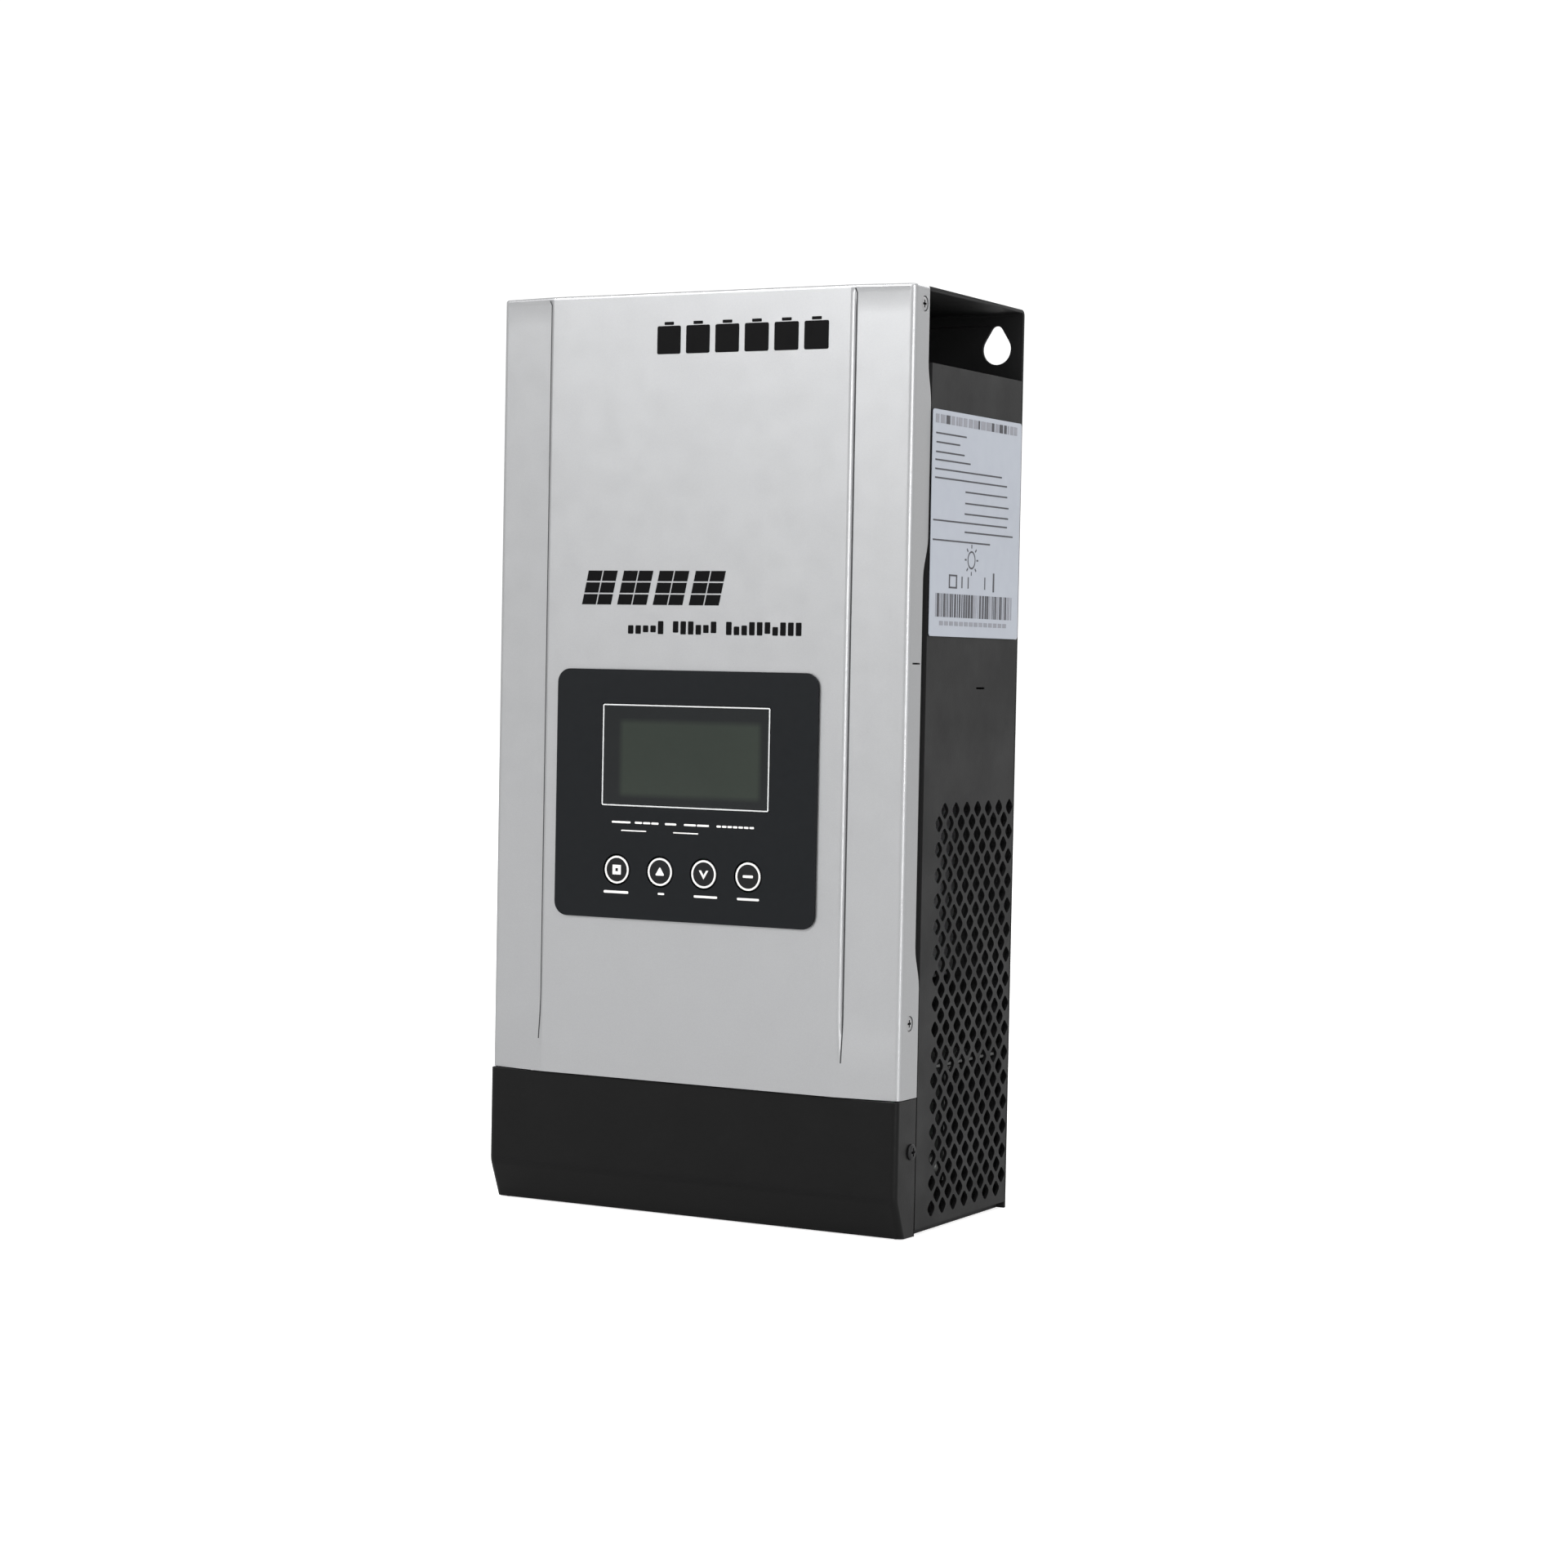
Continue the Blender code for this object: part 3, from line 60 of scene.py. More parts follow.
MIDDLE = cover_low.y  # front of the cover's flat middle
HEIGHT = cover_high.z
COVER_BOTTOM = cover_low.z
RETURN_REAR = cover_high.y
BODY_TOP = panel_high.z
REAR = plate_high.y
FACE = bezel_low.y

# Folded sheet
SHEET = 0.0012
GAP = 0.0003
TUCK = SHEET + GAP
BEND_RADIUS = 0.0022
BEND_STEPS = 8
EASED_EDGE = 0.0003

# Front cover
STRIP_WIDTH = 0.0233
STRIP_SETBACK = 0.0029
CREASE = SIDE - STRIP_WIDTH
STEP_RADIUS = 0.0018  # rolled edge between the middle and a strip
STEP_FADE = (0.0560, 0.0760)  # the edge dies out between these levels
STEP_TOP_FADE = (HEIGHT - 0.0027, HEIGHT - 0.0013)
TOP_BEND = 0.0009
TOP_FLANGE = 0.0140
NOTCH_DEPTH = 0.0034
NOTCH = (0.0860, 0.2400)
NOTCH_RAMP = 0.0140
SLIT = (0.1966, 0.1972)  # saw cut across each return
SLIT_REAR = 0.0123

# Camera
CAMERA_PLACE = (0.57195, -1.03274, 0.19475)
CAMERA_TURN = (28.436, 87.958, 1.106)  # about Z, then X, then its own axis, in degrees
LENS = 75.0

# Light
LIGHT_AIM = (0.0, 0.0, 0.16)
SOFT_BOXES = (  # place, width and height, watts
    ("front_box", (-0.72, -1.9, 1.35), (1.4, 0.6), 49.0),
    ("right_box", (1.9, -1.1, 0.5), (0.3, 1.8), 27.0),
    ("top_box", (0.4, -0.3, 2.2), (2.0, 2.0), 24.0),
    ("rear_box", (0.3, 2.3, 1.4), (1.4, 1.0), 14.0),
)
BACKDROP = 1.1
ROOM_LIGHT = 1.0
CAMERA_WALL = 0.75  # brightness of the room's side behind the camera
WALL_FADE = (-0.7, 0.1)  # where it turns into the room's own, from front to back
FLOOR_RADIUS = 9.0
FLOOR_GLOW = (0.22, 0.75)  # what the floor gives out, and how it looks to the camera


def placed(name, data):
    """A new object with that data, in the scene."""
    made = bpy.data.objects.new(name, data)
    bpy.context.scene.collection.objects.link(made)
    return made


# ---------------- camera and light


def make_camera():
    data = bpy.data.cameras.new("camera")
    data.lens = LENS
    data.sensor_width = 36.0
    data.clip_start = 0.01
    data.clip_end = 60.0
    camera = placed("camera", data)
    heading, pitch, roll = (radians(angle) for angle in CAMERA_TURN)
    turn = Matrix.Rotation(heading, 4, "Z") @ Matrix.Rotation(pitch, 4, "X") @ Matrix.Rotation(roll, 4, "Z")
    camera.matrix_world = Matrix.Translation(CAMERA_PLACE) @ turn
    bpy.context.scene.camera = camera


def soft_light(name, place, size, power):
    """A square soft box that faces the controller."""
    data = bpy.data.lights.new(name, "AREA")
    data.shape = "RECTANGLE"
    data.size, data.size_y = size
    data.energy = power
    lamp = placed(name, data)
    aiming = (Vector(LIGHT_AIM) - Vector(place)).to_track_quat("-Z", "Y")
    lamp.matrix_world = Matrix.Translation(place) @ aiming.to_matrix().to_4x4()


def make_studio():
    """A white room, soft boxes overhead, and a pale floor."""
    for name, place, size, power in SOFT_BOXES:
        soft_light(name, place, size, power)
    world = bpy.data.worlds.new("white_room")
    bpy.context.scene.world = world
    world.use_nodes = True
    nodes, links = world.node_tree.nodes, world.node_tree.links
    walls = nodes["Background"]
    away = nodes.new("ShaderNodeSeparateXYZ")
    links.new(nodes.new("ShaderNodeTexCoord").outputs["Generated"], away.inputs[0])
    shade = nodes.new("ShaderNodeMapRange")
    links.new(away.outputs["Y"], shade.inputs["Value"])
    for socket, value in zip((1, 2, 3, 4), (*WALL_FADE, CAMERA_WALL, ROOM_LIGHT)):
        shade.inputs[socket].default_value = value
    links.new(shade.outputs[0], walls.inputs["Strength"])
    backdrop = nodes.new("ShaderNodeBackground")
    backdrop.inputs["Strength"].default_value = BACKDROP
    pick = nodes.new("ShaderNodeMixShader")
    links.new(nodes.new("ShaderNodeLightPath").outputs["Is Camera Ray"], pick.inputs["Fac"])
    links.new(walls.outputs[0], pick.inputs[1])
    links.new(backdrop.outputs[0], pick.inputs[2])
    links.new(pick.outputs[0], nodes["World Output"].inputs["Surface"])
    for flat in (walls, backdrop):
        flat.inputs["Color"].default_value = (1.0, 1.0, 1.0, 1.0)
    shape = bmesh.new()
    bmesh.ops.create_circle(shape, cap_ends=True, segments=64, radius=FLOOR_RADIUS)
    mesh = bpy.data.meshes.new("floor")
    shape.to_mesh(mesh)
    shape.free()
    floor = placed("floor", mesh)
    pale = Finish("pale_floor", (0.50, 0.50, 0.50), 0.9, specular=0.1)
    pale.set("Emission Color", (1.0, 1.0, 1.0, 1.0))
    seen = pale.add("ShaderNodeLightPath").outputs["Is Camera Ray"]
    pale.drive("Emission Strength", pale.spread(seen, 0.0, 1.0, *FLOOR_GLOW))
    pale.relief(pale.noise(240.0), 0.02, 0.0004)
    mesh.materials.append(pale.material)
    bpy.context.scene.view_settings.view_transform = "Standard"


# ---------------- finishes


class Finish:
    """A material on the Principled shader, with short calls that add its nodes."""

    def __init__(self, name, colour, roughness, metallic=0.0, specular=0.5):
        self.material = bpy.data.materials.new(name)
        self.material.use_nodes = True
        self.nodes = self.material.node_tree.nodes
        self.links = self.material.node_tree.links
        self.shader = self.nodes["Principled BSDF"]
        self.colour = colour
        self.set("Base Color", (*colour, 1.0))
        self.set("Roughness", roughness)
        self.set("Metallic", metallic)
        self.set("Specular IOR Level", specular)
        self.place = self.nodes.new("ShaderNodeTexCoord").outputs["Object"]
        self.normal = None

    def set(self, socket, value):
        self.shader.inputs[socket].default_value = value

    def drive(self, socket, output):
        self.links.new(output, self.shader.inputs[socket])

    def add(self, kind, plugs=(), **settings):
        node = self.nodes.new(kind)
        for key, value in settings.items():
            setattr(node, key, value)
        for socket, value in dict(plugs).items():
            if isinstance(value, bpy.types.NodeSocket):
                self.links.new(value, node.inputs[socket])
            else:
                node.inputs[socket].default_value = value
        return node

    def noise(self, scale, detail=2.0, stretch=None):
        """Soft noise, at a number of features to the metre; stretch squeezes the pattern by axis."""
        place = self.place
        if stretch:
            place = self.add("ShaderNodeMapping", {"Vector": place, "Scale": stretch}).outputs[0]
        plugs = {"Vector": place, "Scale": scale, "Detail": detail}
        return self.add("ShaderNodeTexNoise", plugs).outputs["Fac"]

    def cells(self, scale, output="Color"):
        return self.add("ShaderNodeTexVoronoi", {"Vector": self.place, "Scale": scale}).outputs[output]

    def spread(self, value, low, high, bottom=0.0, top=1.0):
        """Maps a stretch of a value to another stretch."""
        plugs = {"Value": value, 1: low, 2: high, 3: bottom, 4: top}
        return self.add("ShaderNodeMapRange", plugs, clamp=True).outputs[0]

    def sum(self, one, other, operation="ADD"):
        return self.add("ShaderNodeMath", {0: one, 1: other}, operation=operation).outputs[0]

    def axis(self, letter):
        return self.add("ShaderNodeSeparateXYZ", {0: self.place}).outputs[letter]

    def blend(self, factor, one, other):
        """Goes from one colour to the other."""
        ends = [end if isinstance(end, bpy.types.NodeSocket) else (*end, 1.0) for end in (one, other)]
        plugs = {0: factor, 6: ends[0], 7: ends[1]}
        return self.add("ShaderNodeMix", plugs, data_type="RGBA").outputs[2]

    def shades(self, value, low=0.9, high=1.1):
        """Colours the surface between a darker and a lighter shade of its own colour."""
        dark = tuple(part * low for part in self.colour)
        light = tuple(min(part * high, 1.0) for part in self.colour)
        self.drive("Base Color", self.blend(value, dark, light))

    def rubbed(self, value, low, high, start=0.3):
        """Varies the roughness between two values."""
        self.drive("Roughness", self.spread(value, start, 0.7, low, high))

    def relief(self, height, strength, distance):
        """Adds bumps of that depth on top of any that are there."""
        plugs = {"Height": height, "Strength": strength, "Distance": distance}
        if self.normal:
            plugs["Normal"] = self.normal
        self.normal = self.add("ShaderNodeBump", plugs).outputs["Normal"]
        self.drive("Normal", self.normal)


def silver_paint():
    """Silver car-type paint: fine flakes under a soft gloss, with a little orange peel."""
    made = Finish("silver_paint", (0.342, 0.345, 0.351), 0.40, 0.88)
    flakes = made.spread(made.cells(5200.0), 0.0, 1.0)
    drift = made.noise(9.0, 3.0)
    made.shades(made.sum(made.sum(flakes, 0.6, "MULTIPLY"), made.sum(drift, 0.4, "MULTIPLY")), 0.94, 1.06)
    made.rubbed(made.noise(120.0, 3.0), 0.385, 0.415)
    made.relief(made.noise(1100.0, 1.0), 0.10, 0.00004)
    made.relief(made.cells(3800.0, "Distance"), 0.05, 0.00002)
    return made.material


def powder_coat(name, colour, roughness, specular, grain=0.22):
    """Powder coating: a fine leathery grain, slightly rubbed in places."""
    made = Finish(name, colour, roughness, specular=specular)
    made.shades(made.noise(26.0, 5.0), 0.88, 1.14)
    made.rubbed(made.noise(45.0, 6.0), roughness + 0.06, roughness - 0.07, 0.35)
    made.relief(made.noise(1500.0, 2.0), grain, 0.00006)
    made.relief(made.cells(1050.0, "Distance"), grain * 0.6, 0.00005)
    return made.material


def moulded_plastic(name, colour, roughness, specular=0.4, grain=0.12):
    """Moulded plastic with a spark-eroded grain."""
    made = Finish(name, colour, roughness, specular=specular)
    made.shades(made.noise(35.0, 4.0), 0.92, 1.08)
    made.rubbed(made.noise(300.0), roughness - 0.04, roughness + 0.05)
    made.relief(made.cells(2600.0, "Distance"), grain, 0.00003)
    return made.material


def bright_metal(name, colour, roughness, along="X", streak=0.12):
    """Rolled or turned metal with fine lines along one axis."""
    made = Finish(name, colour, roughness, 1.0)
    squeeze = [60.0 if letter != along else 1.0 for letter in "XYZ"]
    lines = made.noise(34.0, 4.0, squeeze)
    made.shades(lines, 0.86, 1.08)
    made.rubbed(lines, roughness - 0.07, roughness + 0.09)
    made.relief(lines, streak, 0.00002)
    return made.material


def zinc_plate():
    """Zinc-plated steel with its faint spangle."""
    made = Finish("zinc_plate", (0.24, 0.245, 0.24), 0.45, 0.95)
    made.shades(made.cells(260.0), 0.82, 1.08)
    made.rubbed(made.noise(90.0, 4.0), 0.38, 0.54)
    made.relief(made.noise(420.0, 3.0), 0.08, 0.00003)
    return made.material


def circuit_board():
    """Green solder mask over copper tracks."""
    made = Finish("circuit_board", (0.012, 0.095, 0.035), 0.32)
    laid = made.add("ShaderNodeMapping", {"Vector": made.place, "Rotation": (pi / 2, 0, 0)}).outputs[0]
    plugs = {"Vector": laid, "Scale": 120.0, "Mortar Size": 0.05, "Mortar Smooth": 0.2}
    tracks = made.add("ShaderNodeTexBrick", plugs).outputs["Fac"]
    spots = made.spread(made.noise(70.0, 1.0), 0.45, 0.5)
    mask = made.sum(tracks, spots, "MULTIPLY")
    made.drive("Base Color", made.blend(mask, made.colour, (0.03, 0.20, 0.07)))
    made.relief(mask, 0.2, 0.00004)
    made.set("Coat Weight", 0.4)
    made.set("Coat Roughness", 0.2)
    return made.material


def screen_glass():
    """The switched-off display behind its window: a green-grey field inside the module's dark border, with a
    painted shade that darkens it towards its edges.
    """
    made = Finish("screen_glass", (0.0175, 0.0222, 0.0178), 0.16, specular=0.25)
    unshaded_share = None
    for letter, low, high in (("X", *SCREEN[:2]), ("Z", *SCREEN[2:])):
        place = made.axis(letter)
        rise = made.spread(place, low, low + SCREEN_SHADE_EDGE)
        fall = made.spread(place, high - SCREEN_SHADE_EDGE, high, 1.0, 0.0)
        band = made.sum(rise, fall, "MULTIPLY")
        unshaded_share = made.sum(unshaded_share, band, "MULTIPLY") if unshaded_share else band
    glow = made.spread(made.noise(16.0, 1.0), 0.3, 0.7)
    green = made.blend(glow, (0.0160, 0.0205, 0.0165), (0.0190, 0.0240, 0.0190))
    # Dark border outside the screen, with a painted shade fading the field into it
    made.drive("Base Color", made.blend(unshaded_share, (0.0065, 0.0075, 0.0080), green))
    dots = made.add("ShaderNodeTexVoronoi", {"Vector": made.place, "Scale": 1800.0, "Randomness": 0.0})
    made.relief(dots.outputs["Distance"], 0.04, 0.00002)
    made.rubbed(made.noise(25.0, 4.0), 0.10, 0.20)
    return made.material


def label_film():
    """Matt polyester film."""
    made = Finish("label_film", (0.300, 0.320, 0.360), 0.45)
    made.shades(made.noise(30.0, 4.0), 0.95, 1.04)
    made.rubbed(made.noise(160.0, 3.0), 0.38, 0.5)
    made.relief(made.noise(900.0, 2.0), 0.05, 0.00003)
    return made.material


def print_ink(name, colour, roughness=0.45, specular=0.3):
    """Screen-printed ink, a little uneven."""
    made = Finish(name, colour, roughness, specular=specular)
    made.shades(made.noise(420.0, 4.0), 0.82, 1.12)
    made.rubbed(made.noise(200.0), roughness - 0.06, roughness + 0.08)
    made.relief(made.noise(1400.0, 2.0), 0.1, 0.00002)
    return made.material


# ---------------- shapes


def finished(name, shape, materials, body="case", slot=None, replaces=(), smooth=35):
    """Turns a bmesh into a piece that rides on a body, smooth up to an angle between faces."""
    mesh = bpy.data.meshes.new(name)
    shape.to_mesh(mesh)
    shape.free()
    mesh.shade_smooth()
    if smooth:
        mesh.set_sharp_from_angle(angle=radians(smooth))
    made = placed(name, mesh)
    for material in materials if isinstance(materials, (list, tuple)) else [materials]:
        mesh.materials.append(material)
    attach(made, body)
    if replaces:
        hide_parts(*replaces)
    return made


def solid(name, shape, *facts):
    """A finished piece of closed shapes, with all their faces pointing outwards."""
    bmesh.ops.recalc_face_normals(shape, faces=shape.faces)
    return finished(name, shape, *facts)


def ease(made, width=EASED_EDGE, segments=2, angle=70):
    """Rounds a piece's edges a little and keeps its flats flat."""
    step = made.modifiers.new("eased_edges", "BEVEL")
    step.width = width
    step.segments = segments
    step.limit_method = "ANGLE"
    step.angle_limit = radians(angle)
    flat = made.modifiers.new("flat_faces", "WEIGHTED_NORMAL")
    flat.keep_sharp = True


def thicken(made, thickness, offset=-1.0, even=False):
    """Gives an open skin a thickness, inwards unless an offset says otherwise."""
    step = made.modifiers.new("thickness", "SOLIDIFY")
    step.thickness = thickness
    step.offset = offset
    step.use_even_offset = even


def fold(made, even=True):
    """Gives an open skin the sheet's thickness, and eases the sheet's edges."""
    thicken(made, SHEET, even=even)
    ease(made)


def softened(node, name, material, slot, width=0.0003, segments=2):
    """A merged copy of a CAD node with eased edges."""
    shape = bmesh.new()
    shape.from_mesh(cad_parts[node].data)
    bmesh.ops.remove_doubles(shape, verts=shape.verts, dist=1e-6)
    bmesh.ops.dissolve_limit(shape, angle_limit=radians(1), verts=shape.verts, edges=shape.edges)
    for face in shape.faces:
        face.material_index = 0
    made = finished(name, shape, material, slot=slot, replaces=[node])
    ease(made, width, segments, 40)


def face_out(shape, way):
    """Makes an open skin's faces agree, and point away from its inside at its furthest face that way."""
    bmesh.ops.recalc_face_normals(shape, faces=shape.faces)
    way = Vector(way)
    shape.normal_update()
    best = max(
        shape.faces,
        key=lambda face: (round(face.calc_center_median().dot(way), 5), face.calc_area()),
    )
    if best.normal.dot(way) < 0:
        bmesh.ops.reverse_faces(shape, faces=shape.faces)


def of_kind(grown, kind):
    """The new parts of one kind that an operator gives back."""
    return [item for item in grown["geom"] if isinstance(item, kind)]


def drawn_out(shape, edges):
    """Extrudes edges; the new edges, and their points."""
    edges = of_kind(bmesh.ops.extrude_edge_only(shape, edges=edges), bmesh.types.BMEdge)
    return edges, {vert for edge in edges for vert in edge.verts}


def wall(path, low, high):
    """An open skin that follows a plan path, raised from one level to another."""
    shape = bmesh.new()
    row = [shape.verts.new((*point, low)) for point in path]
    edges = [shape.edges.new(pair) for pair in zip(row, row[1:])]
    _, raised = drawn_out(shape, edges)
    bmesh.ops.translate(shape, verts=list(raised), vec=(0, 0, high - low))
    return shape


def slice_at(shape, axis, levels):
    """Cuts edges across a skin at levels along one axis."""
    normal = Vector([1.0 if index == axis else 0.0 for index in range(3)])
    for level in levels:
        geometry = shape.verts[:] + shape.edges[:] + shape.faces[:]
        bmesh.ops.bisect_plane(shape, geom=geometry, dist=1e-7, plane_co=normal * level, plane_no=normal)


def remove_faces(shape, inside):
    """Deletes the faces whose middle passes a test."""
    gone = [face for face in shape.faces if inside(face.calc_center_median())]
    bmesh.ops.delete(shape, geom=gone, context="FACES")


def rounded(corners, radius, closed=False, steps=BEND_STEPS):
    """A run of corners with an arc of that radius at each one that turns."""
    points = []
    count = len(corners)
    for index, corner in enumerate(corners):
        here = Vector(corner)
        if not closed and index in (0, count - 1):
            points.append(tuple(here))
            continue
        back = (Vector(corners[index - 1]) - here).normalized()
        ahead = (Vector(corners[(index + 1) % count]) - here).normalized()
        half = back.angle(ahead) / 2
        centre = here + (back + ahead).normalized() * radius / sin(half)
        reach = radius * cos(half) / sin(half)
        first = here + back * reach - centre
        sweep = first.angle_signed(here + ahead * reach - centre)
        turns = [Matrix.Rotation(-sweep * step / steps, 2) for step in range(steps + 1)]
        points += [tuple(centre + turn @ first) for turn in turns]
    return points


def rectangle(u0, u1, v0, v1, radius=0.0, steps=4):
    """A rectangle's outline, with round corners if a radius is given."""
    corners = [(u0, v0), (u1, v0), (u1, v1), (u0, v1)]
    return rounded(corners, radius, True, steps) if radius else corners


def arc(u, v, radius, start, sweep, steps):
    """Points along an arc, with both its ends."""
    turns = [start + sweep * step / steps for step in range(steps + 1)]
    return [(u + radius * cos(turn), v + radius * sin(turn)) for turn in turns]


def spoke(u, v, start, end, half, angle):
    """A bar's outline that points away from a centre, from start to end."""
    corners = [(start, -half), (end, -half), (end, half), (start, half)]
    return [(u + a * cos(angle) - b * sin(angle), v + a * sin(angle) + b * cos(angle)) for a, b in corners]


def outline_of(box, margin, radius, steps):
    """A box's outline from the front, a margin inside it, with round corners."""
    low, high = box
    return rectangle(low.x + margin, high.x - margin, low.z + margin, high.z - margin, radius, steps)


def around(u, v, radius, sides, start=0.0):
    """A circle's or regular outline's points."""
    return arc(u, v, radius, start, 2 * pi, sides)[:-1]


def perforated(shape, loops, put, way):
    """A flat face inside the first outline, with the other outlines left open."""
    edges = []
    for loop in loops:
        verts = [shape.verts.new(put(u, v)) for u, v in loop]
        edges += [shape.edges.new(pair) for pair in zip(verts, verts[1:] + verts[:1])]
    bmesh.ops.triangle_fill(shape, edges=edges, use_beauty=True, use_dissolve=False, normal=way)


def add_plate(shape, outline, put, rise):
    """A flat outline raised by a vector into a closed plate."""
    face = shape.faces.new([shape.verts.new(put(u, v)) for u, v in outline])
    grown = bmesh.ops.extrude_face_region(shape, geom=[face])
    bmesh.ops.translate(shape, verts=of_kind(grown, bmesh.types.BMVert), vec=rise)


def add_block(shape, low, high, edge=0.0):
    """A block between two corners, with eased edges."""
    size = [b - a for a, b in zip(low, high)]
    middle = [(a + b) / 2 for a, b in zip(low, high)]
    place = Matrix.Translation(middle) @ Matrix.Diagonal((*size, 1.0))
    made = bmesh.ops.create_cube(shape, size=1.0, matrix=place)
    if edge:
        edges = {edge for vert in made["verts"] for edge in vert.link_edges}
        bmesh.ops.bevel(
            shape, geom=list(edges), offset=edge, segments=2, profile=0.5, affect="EDGES", material=-1,
        )


def add_turned(shape, profile, base, direction, steps=32):
    """Spins a profile of (radius, height) points about an axis through the base."""
    turn = Vector(direction).to_track_quat("Z", "Y").to_matrix()
    base = Vector(base)
    verts = [shape.verts.new(base + turn @ Vector((radius, 0.0, height))) for radius, height in profile]
    edges = [shape.edges.new(pair) for pair in zip(verts, verts[1:])]
    if profile[0][0] > 0 or profile[-1][0] > 0:
        edges.append(shape.edges.new((verts[-1], verts[0])))
    bmesh.ops.spin(
        shape, geom=verts + edges, cent=base, axis=turn @ Vector((0, 0, 1)), angle=2 * pi, steps=steps,
        use_merge=True,
    )
    bmesh.ops.remove_doubles(shape, verts=shape.verts, dist=1e-7)


def smoothstep(value, low, high):
    share = min(max((value - low) / (high - low), 0.0), 1.0)
    return share * share * (3 - 2 * share)


# ---------------- casing


COVER_SCREWS = ((0.0104, HEIGHT - 0.0063), (0.0099, COVER_BOTTOM + 0.0259))
COVER_HOLE = 0.0027
HOLE_PATCH = 0.0036
PATCH_FRONT = 0.0064  # front of the screw patches and of the slit, back from the middle
STEP_SWEEP = radians(74)  # the middle's side edges roll over this far down to the strips
STEP_STEPS = 7
SHADE_LINE_WIDTH = 0.0005  # painted shade: a dark line this wide on the strip at the rolled edge's foot
SHADE_LINE_FLOOR = 0.2  # it ends where less than this share of the edge is left
SLIVER = 0.0004  # strips thinner than this at the rear edge are closed up
OPENING_LIP = 0.0021  # how far the bezel reaches over the opening's edge


def rolled_edge():
    """The edge's points and the far side of the painted shade line at its foot: how far across from the
    crease, and how deep.
    """
    turns = [STEP_SWEEP * step / STEP_STEPS for step in range(STEP_STEPS + 1)]
    points = [(STEP_RADIUS * sin(turn), STEP_RADIUS * (1 - cos(turn))) for turn in turns]
    across, depth = points[-1]
    return points + [(across + SHADE_LINE_WIDTH, depth)]


def cover_path():
    """Plan of the silver cover's outer face, from its left rear edge round to the right one."""
    strip_front = MIDDLE + STRIP_SETBACK
    corners = [(-SIDE, RETURN_REAR), (-SIDE, strip_front), (SIDE, strip_front), (SIDE, RETURN_REAR)]
    bends = rounded(corners, BEND_RADIUS)
    half = len(bends) // 2
    slope = STRIP_SETBACK / STRIP_WIDTH
    right = [(CREASE + across, MIDDLE + across * slope) for across, _ in rolled_edge()]
    left = [(-x, y) for x, y in reversed(right)]
    return bends[:half] + left + right + bends[half:]


def notch_depth(level):
    """How far the return's rear edge is cut forward at a level."""
    low, high = NOTCH
    depth = NOTCH_DEPTH * smoothstep(level, low, low + NOTCH_RAMP)
    depth *= 1.0 - smoothstep(level, high - NOTCH_RAMP, high)
    trim = (RETURN_REAR - MIDDLE - TOP_FLANGE) * smoothstep(level, BODY_TOP - NOTCH_RAMP, BODY_TOP)
    return max(depth, trim)


def step_share(level):
    """How much of the rolled edge there is at a level."""
    return smoothstep(level, *STEP_FADE) * (1.0 - smoothstep(level, *STEP_TOP_FADE))


def open_screw_hole(shape, hand, back, level):
    """Puts a round hole in a patch of one of the cover's sides."""
    side = Vector((hand * SIDE, MIDDLE + back, level))

    def in_patch(at, slack):
        if abs(at.x - side.x) > 1e-5 or abs(at.z - level) > HOLE_PATCH + slack:
            return False
        return PATCH_FRONT - slack < at.y - MIDDLE < TOP_FLANGE + slack

    remove_faces(shape, lambda at: in_patch(at, -1e-5))
    bare = [edge for edge in shape.edges if edge.is_boundary]
    rim = [edge for edge in bare if all(in_patch(vert.co, 1e-5) for vert in edge.verts)]
    turn = Matrix.Translation(side) @ Matrix.Rotation(pi / 2, 4, "Y") @ Matrix.Rotation(pi / 4, 4, "Z")
    ring = bmesh.ops.create_circle(shape, segments=20, radius=COVER_HOLE, matrix=turn)
    circle = {edge for vert in ring["verts"] for edge in vert.link_edges}
    bmesh.ops.triangle_fill(
        shape, edges=rim + list(circle), use_beauty=True, use_dissolve=False, normal=(hand, 0, 0),
    )


